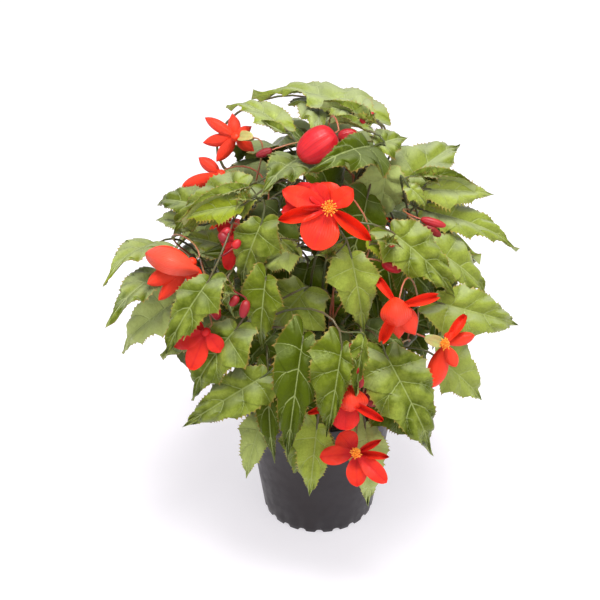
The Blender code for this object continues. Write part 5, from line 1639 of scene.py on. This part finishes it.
def soil_shape():
    """The closed body of soil inside the pot's wall."""
    inner_foot = POT_INNER_FOOT - GAP * 2
    bottom = POT_BASE_TOP + GAP
    edge = inner_foot + POT_SLOPE * (SOIL_TOP - SOIL_BUMP)
    profile = [(0.0, bottom), (inner_foot + POT_SLOPE * bottom, bottom), (edge, SOIL_TOP - SOIL_BUMP)]
    for ring in range(SOIL_FINE_RINGS + 1):
        profile.append((edge * (1 - ring / SOIL_FINE_RINGS) * SOIL_SHRINK, SOIL_TOP))
    verts = []
    for step in range(SOIL_FINE_SEGMENTS):
        for radius, height in profile:
            place = around(radius, 2 * math.pi * step / SOIL_FINE_SEGMENTS, height)
            if height == SOIL_TOP:
                place.z = soil_height(place.x, place.y)
            verts.append(place)
    return close_turned(verts, SOIL_FINE_SEGMENTS, len(profile))


def chip_shape(chance):
    """One angular chip of bark that lies on the soil."""
    angle = chance.uniform(0, 2 * math.pi)
    spot = around(CHIP_RING * math.sqrt(chance.random()), angle)
    size = chance.uniform(*CHIP_SIZES)
    spot.z = soil_height(spot.x, spot.y) + size * CHIP_LIFT
    tilts = [chance.uniform(-CHIP_TILT, CHIP_TILT) for _ in range(2)]
    tilt = Vector((*tilts, 1)).normalized()
    shift = chance.uniform(0, 100)

    def spread(share, bearing):
        swell = math.sin(math.pi * share) ** CHIP_POINT
        rough = 1 + CHIP_ROUGH * noise.noise(around(CHIP_GRAIN, bearing, shift))
        return size * swell * rough, size * CHIP_DEPTH * swell * rough

    return lumpy(spot, tilt, size * CHIP_HALF, *CHIP_MESH, spread)


def planted():
    """The whole plant, placed once and then kept."""
    if not PLANTED:
        bush = Bush()
        bush.grow_stems()
        bush.open_blooms()
        bush.hang_buds()
        bush.spread_front_leaves()
        bush.spread_back_leaves()
        bush.run_stalks()
        bush.spread_young_leaves()
        bush.fill_inside()
        PLANTED.append(bush)
    return PLANTED[0]


class Paint:
    """A Principled material, with short calls that add its nodes."""

    def __init__(self, name, **sockets):
        self.material = bpy.data.materials.new(name)
        self.material.use_nodes = True
        self.tree = self.material.node_tree
        self.shader = self.tree.nodes["Principled BSDF"]
        self.place = self.tree.nodes.new("ShaderNodeTexCoord").outputs["Object"]
        for label, setting in sockets.items():
            self.shader.inputs[label.replace("_", " ")].default_value = setting

    def add(self, kind, inputs, **settings):
        """One node, its inputs given as links or as values."""
        node = self.tree.nodes.new(kind)
        for name, setting in settings.items():
            setattr(node, name, setting)
        for socket, given in inputs.items():
            if isinstance(given, bpy.types.NodeSocket):
                self.tree.links.new(given, node.inputs[socket])
            else:
                node.inputs[socket].default_value = given
        return node

    def value(self, name):
        """A painted value of the mesh."""
        return self.add("ShaderNodeAttribute", {}, attribute_name=name).outputs["Fac"]

    def math(self, operation, first, second=0.0):
        """One sum, product or other simple step."""
        return self.add("ShaderNodeMath", {0: first, 1: second}, operation=operation).outputs[0]

    def times(self, first, second):
        """A product."""
        return self.math("MULTIPLY", first, second)

    def plus(self, first, second):
        """A sum."""
        return self.math("ADD", first, second)

    def rest(self, share):
        """What a share leaves of one."""
        return self.math("SUBTRACT", 1.0, share)

    def band(self, fac, low, high, start=0.0, end=1.0):
        """A smooth step from start to end while fac goes from low to high."""
        inputs = {"Value": fac, "From Min": low, "From Max": high, "To Min": start, "To Max": end}
        return self.add("ShaderNodeMapRange", inputs, interpolation_type="SMOOTHSTEP").outputs[0]

    def mix(self, fac, first, second):
        """A mix of two colours."""
        colours = [given if isinstance(given, bpy.types.NodeSocket) else (*given, 1.0)
                   for given in (first, second)]
        inputs = {"Factor": fac, 6: colours[0], 7: colours[1]}
        return self.add("ShaderNodeMix", inputs, data_type="RGBA").outputs[2]

    def noise(self, scale, detail=3.0, rough=0.5):
        """Fractal noise in the frame's own space."""
        inputs = {"Vector": self.place, "Scale": scale, "Detail": detail, "Roughness": rough}
        return self.add("ShaderNodeTexNoise", inputs).outputs["Fac"]

    def grain(self, scale, low, high, detail=3.0):
        """Uneven roughness between a low and a high value."""
        return self.band(self.noise(scale, detail), 0.3, 0.7, low, high)

    def upward(self):
        """How far the surface faces up."""
        facing = self.tree.nodes.new("ShaderNodeTexCoord").outputs["Normal"]
        return self.add("ShaderNodeSeparateXYZ", {"Vector": facing}).outputs["Z"]

    def cells(self, scale):
        """The distance to the nearest edge of small cells."""
        inputs = {"Vector": self.place, "Scale": scale}
        return self.add("ShaderNodeTexVoronoi", inputs, feature="DISTANCE_TO_EDGE").outputs["Distance"]

    def relief(self, height, distance, strength=1.0, below=None):
        """A bump, on top of another one if given."""
        inputs = {"Height": height, "Distance": distance, "Strength": strength}
        if below is not None:
            inputs["Normal"] = below
        return self.add("ShaderNodeBump", inputs).outputs["Normal"]

    def finish(self, colour, rough, normal):
        """Links the colour, roughness and bump to the shader."""
        self.tree.links.new(colour, self.shader.inputs["Base Color"])
        self.tree.links.new(rough, self.shader.inputs["Roughness"])
        self.tree.links.new(normal, self.shader.inputs["Normal"])
        return self.material


# The veins, as shares of the gap between two side veins, and how strongly they are painted
VEIN_WIDTHS = (0.032, 0.012)
VEIN_SOFTNESS = (0.4, 1.5)
VEIN_FADE = (0.55, 1.0, 1.0, 0.4)
FORK_SPREAD = (0.40, 1.1, 0.0, 0.36)
FORK_SOFTNESS = (0.3, 1.3, 0.6, 0.0)
FORK_FROM_BASE = (0.20, 0.36)
FORK_FROM_MIDRIB = (0.45, 0.60, 0.0, 0.8)
MIDRIB_SOFTNESS_MM = (0.25, 0.75)
NET_SCALE = 420.0
NET_WIDTH = 0.10
PILLOW_SCALE = 210.0
UPPER_NET, UPPER_VEINS = 0.20, 0.44
UNDER_NET, UNDER_VEINS = 0.25, 0.7


def vein_phase(paint):
    """How many side veins lie between the base and each place of a leaf."""
    reach, down = paint.value("reach"), paint.value("down")
    root = paint.times(paint.times(paint.rest(reach), down), VEIN_SWEEP)
    root = paint.math("SQRT", paint.plus(paint.times(reach, reach), root))
    ends = paint.math("DIVIDE", paint.times(down, 2.0), paint.plus(reach, root))
    return paint.plus(paint.times(ends, paint.value("vein")), VEIN_SHIFT)


def vein_masks(paint):
    """Where the midrib and side veins are, and where the small ones are."""
    phase = paint.math("FRACT", vein_phase(paint))
    off = paint.math("ABSOLUTE", paint.math("SUBTRACT", phase, 0.5))
    reach = paint.value("reach")
    width = paint.band(reach, 0.0, 1.0, *VEIN_WIDTHS)
    side = paint.band(paint.math("DIVIDE", off, width), *VEIN_SOFTNESS, 1.0, 0.0)
    side = paint.times(side, paint.band(reach, *VEIN_FADE))
    fork = paint.math("ABSOLUTE", paint.math("SUBTRACT", off, paint.band(reach, *FORK_SPREAD)))
    fork = paint.band(paint.math("DIVIDE", fork, width), *FORK_SOFTNESS)
    fork = paint.times(fork, paint.band(paint.value("down"), *FORK_FROM_BASE))
    side = paint.math("MAXIMUM", side, paint.times(fork, paint.band(reach, *FORK_FROM_MIDRIB)))
    middle = paint.band(paint.value("across"), *MIDRIB_SOFTNESS_MM, 1.0, 0.0)
    small = paint.band(paint.cells(NET_SCALE), 0.0, NET_WIDTH, 1.0, 0.0)
    return paint.math("MAXIMUM", side, middle), small


def petal_lines(paint, scale, wander, width):
    """The fine lengthwise lines of a petal or bud, which wander a little."""
    stripe = paint.plus(paint.value("vein"), paint.times(paint.noise(scale), wander))
    return paint.band(paint.math("PINGPONG", stripe, 0.5), 0.0, width, 1.0, 0.0)


def paint_leaf(colours):
    """The satin green upper face: paler veins, a fine net, tan-red teeth, young yellow leaves, and
    painted light: shade in the vein valleys, sheen where it faces up, per-leaf light and shade.
    """
    paint = Paint("leaf_upper", Specular_IOR_Level=0.16, Specular_Tint=(0.8, 1.0, 0.25, 1.0))
    veins, net = vein_masks(paint)
    mottle = paint.times(paint.noise(85.0, 4.0, 0.6), 1.5)
    tone = paint.plus(mottle, paint.times(paint.value("tone"), 0.75))
    # Painted shade: darker in the sunken valleys along the side veins, lighter on the raised pillows
    # between them
    pleat = paint.math("PINGPONG", paint.plus(vein_phase(paint), 0.5), 0.5)
    tone = paint.plus(tone, paint.band(pleat, 0.0, 0.42, -0.13, 0.07))
    colour = paint.mix(paint.band(tone, 0.30, 1.20), colours.leaf_dark, colours.leaf_light)
    colour = paint.mix(paint.value("young"), colour, colours.leaf_young)
    colour = paint.mix(paint.times(net, UPPER_NET), colour, colours.leaf_dark)
    colour = paint.mix(paint.times(veins, UPPER_VEINS), colour, colours.leaf_vein)
    # Painted light: leaves with a high tone, most of which lie in shade, are lifted towards pale green
    pale = paint.band(paint.value("tone"), 0.5, 2.0, 0.0, 0.6)
    colour = paint.mix(pale, colour, colours.leaf_vein)
    # Painted sheen: up-facing parts turn grey-green where light from above falls, less so on darker
    # leaves
    painted_sheen = paint.band(paint.value("tone"), -0.8, 0.7, 0.20, 0.75)
    painted_sheen = paint.times(painted_sheen, paint.band(paint.upward(), 0.50, 1.05))
    colour = paint.mix(painted_sheen, colour, PAINTED_SHEEN_GREEN)
    rim = paint.band(paint.value("young"), 0.0, 0.6, 0.75, 1.0)
    rim = paint.times(rim, paint.band(paint.noise(130.0), 0.3, 0.6, 0.4, 1.0))
    colour = paint.mix(paint.times(paint.value("rim"), rim), colour, colours.leaf_rim)
    rough = paint.grain(90.0, 0.25, 0.42)
    bump = paint.relief(paint.noise(900.0), 0.0002, 0.25)
    pillow = paint.band(paint.cells(PILLOW_SCALE), 0.0, 0.35)
    bump = paint.relief(pillow, 0.0006, 0.30, bump)
    bump = paint.relief(paint.rest(net), 0.0002, 0.4, bump)
    bump = paint.relief(paint.rest(veins), 0.0004, 0.8, bump)
    return paint.finish(colour, rough, bump)


def paint_leaf_under(colours):
    """The paler, matt underside with raised veins."""
    paint = Paint("leaf_underside", Specular_IOR_Level=0.2)
    veins, net = vein_masks(paint)
    colour = paint.mix(paint.band(paint.noise(60.0), 0.3, 0.7), colours.leaf_under, colours.leaf_light)
    colour = paint.mix(paint.times(net, UNDER_NET), colour, colours.leaf_vein)
    colour = paint.mix(paint.times(veins, UNDER_VEINS), colour, colours.leaf_vein)
    rough = paint.grain(200.0, 0.5, 0.68)
    bump = paint.relief(net, 0.00015, 0.6)
    bump = paint.relief(veins, 0.0004, 0.9, bump)
    return paint.finish(colour, rough, bump)


def paint_stalk(name, first, second, scale=45.0):
    """Fleshy stem skin that changes between two colours, with fine lengthwise bumps."""
    paint = Paint(name, Specular_IOR_Level=0.5, Subsurface_Weight=0.08, Subsurface_Scale=0.002)
    colour = paint.mix(paint.band(paint.noise(scale), 0.35, 0.65), first, second)
    rough = paint.grain(300.0, 0.32, 0.5)
    return paint.finish(colour, rough, paint.relief(paint.noise(700.0), 0.0002, 0.5))


def paint_petal(name, light, deep):
    """A soft petal with faint lengthwise veins, and painted shade that deepens it towards its base and
    along its midline fold.
    """
    paint = Paint(name, Specular_IOR_Level=0.24, Subsurface_Weight=0.05, Subsurface_Scale=0.002)
    lines = petal_lines(paint, 60.0, 0.5, 0.24)
    shade = paint.plus(paint.band(paint.noise(55.0), 0.3, 0.75, 0.0, 0.5), paint.value("young"))
    shade = paint.plus(shade, paint.times(lines, 0.12))
    # Painted shade: deeper in the throat at the base and along the midline fold
    shade = paint.plus(shade, paint.band(paint.value("down"), 0.0, 0.55, 0.75, 0.0))
    shade = paint.plus(shade, paint.band(paint.value("across"), 0.0, 1.2, 0.22, 0.0))
    colour = paint.mix(paint.band(shade, 0.0, 1.15), light, deep)
    streak = paint.times(paint.value("tone"), paint.band(lines, 0.0, 1.0, 1.0, 0.0))
    colour = paint.mix(streak, colour, PETAL_SALMON)
    rough = paint.grain(200.0, 0.38, 0.55)
    bump = paint.relief(paint.noise(800.0), 0.00015, 0.5)
    return paint.finish(colour, rough, paint.relief(lines, 0.00025, 0.7, bump))


def paint_bud(colours):
    """Glossy bud skin, crimson or dark by each bud's tone."""
    paint = Paint("bud_skin", Specular_IOR_Level=0.36, Subsurface_Weight=0.08, Subsurface_Scale=0.002)
    colour = paint.mix(paint.value("tone"), colours.bud, colours.bud_dark)
    colour = paint.mix(paint.band(paint.noise(120.0), 0.4, 0.8, 0.0, 0.25), colour, colours.petal)
    lines = petal_lines(paint, 90.0, 0.6, 0.16)
    colour = paint.mix(paint.times(lines, 0.28), colour, colours.bud_dark)
    rough = paint.grain(220.0, 0.36, 0.52)
    bump = paint.relief(paint.noise(420.0), 0.0003, 0.5)
    return paint.finish(colour, rough, paint.relief(lines, 0.0002, 0.4, bump))


def paint_plastic(colours):
    """Black moulded plastic with faint scuffs and mould texture."""
    paint = Paint("moulded_black_plastic", Specular_IOR_Level=0.34)
    colour = paint.mix(paint.band(paint.noise(18.0), 0.35, 0.7), colours.pot, colours.pot_scuff)
    rough = paint.grain(120.0, 0.34, 0.5, 5.0)
    bump = paint.relief(paint.noise(1500.0), 0.0001, 0.4)
    return paint.finish(colour, rough, bump)


def paint_soil(name, first, second, scale):
    """Crumbly brown peat or bark."""
    paint = Paint(name, Specular_IOR_Level=0.2)
    colour = paint.mix(paint.band(paint.noise(scale, 6.0, 0.7), 0.3, 0.7), first, second)
    rough = paint.grain(300.0, 0.8, 1.0)
    bump = paint.relief(paint.noise(900.0, 5.0, 0.7), 0.0008, 1.0)
    return paint.finish(colour, rough, bump)


def paint_floor(colours):
    """The pale studio floor."""
    paint = Paint("studio_floor", Specular_IOR_Level=0.2, Emission_Strength=FLOOR_GLOW,
                  Emission_Color=ROOM_COLOUR)
    colour = paint.mix(paint.band(paint.noise(0.8), 0.3, 0.7, 0.0, 0.05), colours.floor, FLOOR_SHADE)
    rough = paint.grain(5.0, 0.7, 0.8)
    return paint.finish(colour, rough, paint.relief(paint.noise(250.0), 0.0002, 0.05))


def colour_property(name, description, default):
    """A colour that a user can change."""
    return bpy.props.FloatVectorProperty(
        name=name, description=description, default=default, subtype="COLOR", size=3, min=0, max=1)


def length_property(name, description, default):
    """A length in metres that a user can change."""
    return bpy.props.FloatProperty(
        name=name, description=description, default=default, min=0, subtype="DISTANCE", unit="LENGTH")


class BEGONIA_PG_plant(bpy.types.PropertyGroup):
    """Sizes and colours of the plant."""

    leaf_dark: colour_property("Leaf dark", "Green of the shaded parts of a leaf", (0.051, 0.073, 0.003))
    leaf_light: colour_property("Leaf light", "Green of the lit parts of a leaf", (0.236, 0.286, 0.044))
    leaf_young: colour_property("Young leaf", "Yellow-green of young leaves", (0.300, 0.360, 0.022))
    leaf_vein: colour_property("Vein", "Pale green of the veins", (0.398, 0.458, 0.180))
    leaf_rim: colour_property("Teeth", "Tan-red of the leaf's toothed edge", (0.380, 0.175, 0.060))
    leaf_under: colour_property("Underside", "Pale green of a leaf's underside", (0.196, 0.246, 0.068))
    # The stalk colours are darkened towards the green of leaves in shade: painted shade over the stalks'
    # own green and reddish brown
    stalk_shade_green: colour_property("Stalk green", "Green of the stalks", (0.070, 0.085, 0.022))
    stalk_shade_red: colour_property("Stalk red", "Reddish brown of the stalks", (0.090, 0.062, 0.024))
    petal: colour_property("Petal", "Orange-red of the petals", (0.780, 0.034, 0.007))
    # The petal base colour also carries the painted shade in the throat and along the fold
    petal_deep: colour_property("Petal base", "Deep red at a petal's base", (0.540, 0.009, 0.010))
    petal_back: colour_property("Petal back", "Salmon red of a petal's back", (0.770, 0.042, 0.017))
    stamen: colour_property("Stamens", "Yellow-orange of the anthers", (1.000, 0.430, 0.035))
    bud: colour_property("Bud", "Crimson of a bud", (0.480, 0.006, 0.014))
    bud_dark: colour_property("Dark bud", "Dark red of the youngest buds", (0.120, 0.006, 0.010))
    ovary: colour_property("Ovary", "Yellow-green of the winged ovaries", (0.380, 0.400, 0.120))
    hair_length: length_property("Hair length", "Length of the longest stem hairs", 0.0013)


class BEGONIA_PG_pot(bpy.types.PropertyGroup):
    """Sizes and colours of the pot and its soil."""

    pot: colour_property("Plastic", "Colour of the black plastic", (0.017, 0.012, 0.013))
    pot_scuff: colour_property("Scuffed plastic", "Colour of the duller plastic", (0.024, 0.020, 0.023))
    soil: colour_property("Peat", "Dark brown of the peat", (0.060, 0.034, 0.020))
    soil_light: colour_property("Dry peat", "Lighter brown of dry crumbs", (0.160, 0.095, 0.055))
    bark: colour_property("Bark", "Brown of the bark chips", (0.200, 0.110, 0.060))
    chips: bpy.props.IntProperty(
        name="Bark chips", description="How many bark chips lie on the soil", default=170, min=0)
    segments: bpy.props.IntProperty(
        name="Segments", description="How finely the pot is turned", default=240, min=60)


class BEGONIA_PG_stage(bpy.types.PropertyGroup):
    """The floor and light of the reference view."""

    floor: colour_property("Floor", "Colour of the floor", (0.52, 0.50, 0.52))
    floor_size: length_property("Floor size", "Side of the square floor", 12.0)
    key_power: bpy.props.FloatProperty(
        name="Key light", description="Power of the large soft light", default=42.0, min=0,
        subtype="POWER", unit="POWER")
    room: bpy.props.FloatProperty(
        name="Room light", description="Strength of the light from all sides", default=0.50, min=0)


def faces_low_right(blade):
    """Whether a blade's second half shows at the lower right in the reference view."""
    return blade.side.x - blade.side.dot(VIEW_OVER) > 0


def short(node):
    """A node's name without its first word."""
    return node.split("_", 1)[1]


class BEGONIA_OT_pot(bpy.types.Operator):
    """Makes the nursery pot with its rim, lugged foot and drain holes"""

    bl_idname = "begonia.pot"
    bl_label = "Nursery pot"

    def execute(self, context):
        settings = context.scene.begonia_pot
        piece = Piece()
        piece.add(*pot_shape(settings.segments), 0)
        pot = piece.make("nursery_pot", [paint_plastic(settings)], ["pot"], sharp=40)
        drill_holes(pot)
        return {"FINISHED"}


class BEGONIA_OT_soil(bpy.types.Operator):
    """Fills the pot with crumbly soil and scatters bark chips on it"""

    bl_idname = "begonia.soil"
    bl_label = "Soil"

    def execute(self, context):
        settings = context.scene.begonia_pot
        peat = paint_soil("peat", settings.soil, settings.soil_light, 160.0)
        bark = paint_soil("bark", settings.bark, settings.soil, 90.0)
        piece = Piece()
        piece.add(*soil_shape(), 0)
        chance = random.Random(SOIL_SEED)
        for _ in range(settings.chips):
            piece.add(*chip_shape(chance), 1)
        piece.make("potting_soil", [peat, bark], ["soil"])
        return {"FINISHED"}


class BEGONIA_OT_leaves(bpy.types.Operator):
    """Grows the toothed leaves of every stem"""

    bl_idname = "begonia.leaves"
    bl_label = "Leaves"

    def execute(self, context):
        colours = context.scene.begonia_plant
        paints = [paint_leaf(colours), paint_leaf_under(colours)]
        bush = planted()
        chance = random.Random(LEAF_SEED)
        for stem in bush.stems:
            piece = Piece()
            for route in bush.routes[stem]:
                blade = bush.leaves.get(route.name)
                if blade is None:
                    continue
                # Each leaf's tone: a random spread, plus the table's own tone and painted light and
                # shade, plus painted shade on the inner leaves
                tone = LEAF_TONES_AND_LIGHT.get(route.name, 0.0) + chance.uniform(-LEAF_TONE_SPREAD, LEAF_TONE_SPREAD)
                tone += INNER_SHADE if blade.style == "inner" else 0.0
                young = YOUTH.get(route.name, 0.0)
                style = STYLES[blade.style]
                shown = FOLDED_SHARES.get(route.name, (1.0, 1.0))
                style = style._replace(shown=shown if faces_low_right(blade) else shown[::-1])
                piece.add_blade(blade, style, chance, (0, 1), tone, young)
            if piece.faces:
                piece.make("leaves_" + short(stem), paints, [stem])
        return {"FINISHED"}


class BEGONIA_OT_stalks(bpy.types.Operator):
    """Grows the fleshy stems, leaf stalks, pedicels and winged ovaries, with their hairs"""

    bl_idname = "begonia.stalks"
    bl_label = "Stems and stalks"

    def execute(self, context):
        colours = context.scene.begonia_plant
        paints = [paint_stalk("stem_skin", colours.stalk_shade_green, colours.stalk_shade_red),
                  paint_stalk("stalk_skin", colours.stalk_shade_red, colours.stalk_shade_green),
                  paint_stalk("ovary_skin", colours.ovary, OVARY_BLUSH, 160.0),
                  paint_stalk("stem_hair", colours.leaf_under, colours.stalk_shade_red),
                  paint_stalk("pedicel_skin", PEDICEL_PINK, PEDICEL_TAN)]
        bush = planted()
        chance = random.Random(HAIR_SEED)
        for stem in bush.stems:
            piece = Piece()
            points, radii = stem_course(bush, stem)
            piece.add(*tube(points, radii, STEM_FINE_SIDES), STEM_SKIN)
            add_hairs(piece, points, radii, STEM_HAIRS, colours.hair_length, chance)
            for route in bush.routes[stem]:
                points, radii = stalk_course(bush, route)
                flower = route.name in bush.blooms or route.name in bush.buds
                skin = PEDICEL_SKIN if flower else STALK_SKIN
                piece.add(*tube(points, radii, STALK_FINE_SIDES), skin)
                add_hairs(piece, points, radii, STALK_HAIRS, colours.hair_length, chance)
            for middle, axis in bush.ovaries[stem]:
                piece.add(*ovary_shape(middle, axis), OVARY_SKIN)
            piece.make("stalks_" + short(stem), paints, [stem])
        return {"FINISHED"}


class BEGONIA_OT_blooms(bpy.types.Operator):
    """Opens the blooms: petals in two layers round a small core"""

    bl_idname = "begonia.blooms"
    bl_label = "Blooms"

    def execute(self, context):
        colours = context.scene.begonia_plant
        paints = [paint_petal("petal_face", colours.petal, colours.petal_deep),
                  paint_petal("petal_back", colours.petal_back, colours.petal)]
        bush = planted()
        chance = random.Random(PETAL_SEED)
        for name, (centre, blades, arrival) in bush.blooms.items():
            piece = Piece()
            behind = name in BACK_SEEN_BLOOMS
            for number, blade in enumerate(blades):
                faces, style = ((1, 0), "bell") if behind else ((0, 1), "petal")
                style = "arm" if number in ARMS.get(name, ()) else style
                young = BLOOM_DEPTHS.get(name, 0.0) + chance.uniform(*PETAL_DEPTHS)
                piece.add_blade(blade, STYLES[style], chance, faces, 0.0, young)
            for blade in bush.extra_petals(name, centre):
                faces = (1, 0) if behind or blade.style == "cup" else (0, 1)
                tone = SALMON_CUPS.get(name, 0.0) if blade.style == "cup" else 0.0
                young = chance.uniform(*INNER_PETAL_DEPTHS) if name == "bloom_centre" else 0.0
                piece.add_blade(blade, STYLES[blade.style], chance, faces, tone, young)
            core = lumpy(centre, arrival, CORE_RADIUS, *CORE_FINE_MESH, core_spread)
            piece.add(*core, int(behind), young=CORE_DEPTH)
            piece.make("petals_" + short(name), paints, [name], sharp=60)
        return {"FINISHED"}


class BEGONIA_OT_stamens(bpy.types.Operator):
    """Sets the heads of yellow stamens in the open blooms"""

    bl_idname = "begonia.stamens"
    bl_label = "Stamens"

    def execute(self, context):
        colours = context.scene.begonia_plant
        paint = paint_stalk("anther", colours.stamen, ANTHER_DEEP, 600.0)
        bush = planted()
        chance = random.Random(STAMEN_SEED)
        for name, (foot, facing) in bush.stamens.items():
            piece = Piece()
            add_stamens(piece, foot, facing, chance, STAMEN_SIZES.get(name, 1.0))
            piece.make("anthers_" + short(name), [paint], ["stamens_" + short(name)])
        return {"FINISHED"}


class BEGONIA_OT_buds(bpy.types.Operator):
    """Hangs the closed buds"""

    bl_idname = "begonia.buds"
    bl_label = "Buds"

    def execute(self, context):
        paint = paint_bud(context.scene.begonia_plant)
        lines = [segment * BUD_LINES / BUD_SEGMENTS for segment in range(BUD_SEGMENTS)]
        lines = [0.0] + lines * (BUD_RINGS - 1) + [0.0]
        for name, (_, axis, middle, half, width) in planted().buds.items():
            piece = Piece()
            shape = bud_shape(middle, axis, half, width, BUD_SEGMENTS, BUD_RINGS)
            piece.add(*shape, 0, tone=BUD_TONES.get(name, BUD_TONE), vein=lines)
            if name == "bud_dark_low":
                self.add_bracts(piece)
            piece.make("closed_" + name, [paint], [name], sharp=80)
        return {"FINISHED"}

    def add_bracts(self, piece):
        """Adds the small bracts and youngest buds to one of the buds."""
        chance = random.Random(BRACT_SEED)
        for middle, axis, half, width, ends in planted().small_bracts():
            points = curve(ends, BRACT_STALK_STEPS)
            stalk = tube(points, [BRACT_STALK_RADIUS] * len(points), BRACT_STALK_SIDES)
            piece.add(*stalk, 0, tone=1.0, vein=BRACT_LINE)
            shape = bud_shape(middle, axis, half, width, BRACT_SEGMENTS, BRACT_RINGS)
            piece.add(*shape, 0, tone=chance.uniform(*BRACT_TONES), vein=BRACT_LINE)


class BEGONIA_OT_stage(bpy.types.Operator):
    """Sets the floor, the lights and the camera of the reference view"""

    bl_idname = "begonia.stage"
    bl_label = "Stage"

    def execute(self, context):
        settings = context.scene.begonia_stage
        half = settings.floor_size / 2
        mesh = bpy.data.meshes.new("studio_floor")
        corners = [(-half, -half, 0), (half, -half, 0), (half, half, 0), (-half, half, 0)]
        mesh.from_pydata(corners, [], [(0, 1, 2, 3)])
        mesh.materials.append(paint_floor(settings))
        linked("studio_floor", mesh)
        world = bpy.data.worlds.new("studio_room")
        world.use_nodes = True
        world.node_tree.nodes["Background"].inputs["Color"].default_value = ROOM_COLOUR
        world.node_tree.nodes["Background"].inputs["Strength"].default_value = settings.room
        context.scene.world = world
        for name, place, size, share in LIGHTS:
            lamp = bpy.data.lights.new(name, "AREA")
            lamp.shape = "DISK"
            lamp.size = size
            lamp.energy = settings.key_power * share
            light = linked(name, lamp)
            light.location = place
            light.rotation_euler = (LIGHT_TARGET - Vector(place)).to_track_quat("-Z", "Y").to_euler()
        lens = bpy.data.cameras.new("reference_view")
        lens.lens = VIEW_FOCAL_PIXELS / VIEW_PIXELS * lens.sensor_width
        camera = linked("reference_view", lens)
        camera.location = VIEW_EYE
        camera.rotation_euler = (-VIEW_BACK).to_track_quat("-Z", "Y").to_euler()
        context.scene.camera = camera
        context.scene.view_settings.view_transform = "Standard"
        return {"FINISHED"}


OPERATORS = (BEGONIA_OT_pot, BEGONIA_OT_soil, BEGONIA_OT_leaves, BEGONIA_OT_stalks, BEGONIA_OT_blooms,
             BEGONIA_OT_stamens, BEGONIA_OT_buds, BEGONIA_OT_stage)


class BEGONIA_PT_panel(bpy.types.Panel):
    """Lists the begonia's settings and steps"""

    bl_idname = "BEGONIA_PT_panel"
    bl_label = "Potted begonia"
    bl_space_type = "VIEW_3D"
    bl_region_type = "UI"
    bl_category = "Begonia"

    def draw(self, context):
        scene = context.scene
        for group in (scene.begonia_plant, scene.begonia_pot, scene.begonia_stage):
            box = self.layout.box()
            for name in group.__annotations__:
                box.prop(group, name)
        for operator in OPERATORS:
            self.layout.operator(operator.bl_idname)


CLASSES = (BEGONIA_PG_plant, BEGONIA_PG_pot, BEGONIA_PG_stage, *OPERATORS, BEGONIA_PT_panel)


def register():
    """Registers the classes and puts the settings on the scene."""
    for kind in CLASSES:
        bpy.utils.register_class(kind)
    bpy.types.Scene.begonia_plant = bpy.props.PointerProperty(type=BEGONIA_PG_plant)
    bpy.types.Scene.begonia_pot = bpy.props.PointerProperty(type=BEGONIA_PG_pot)
    bpy.types.Scene.begonia_stage = bpy.props.PointerProperty(type=BEGONIA_PG_stage)


def unregister():
    """Takes the settings and classes away again."""
    del bpy.types.Scene.begonia_plant
    del bpy.types.Scene.begonia_pot
    del bpy.types.Scene.begonia_stage
    for kind in reversed(CLASSES):
        bpy.utils.unregister_class(kind)


def main():
    """Makes every piece in order."""
    register()
    for item in list(bpy.data.objects):
        if item.type in {"LIGHT", "CAMERA"} or item.name == "Cube":
            bpy.data.objects.remove(item)
    bpy.ops.begonia.pot()
    bpy.ops.begonia.soil()
    bpy.ops.begonia.leaves()
    bpy.ops.begonia.stalks()
    bpy.ops.begonia.blooms()
    bpy.ops.begonia.stamens()
    bpy.ops.begonia.buds()
    bpy.ops.begonia.stage()


if __name__ == "__main__":
    main()
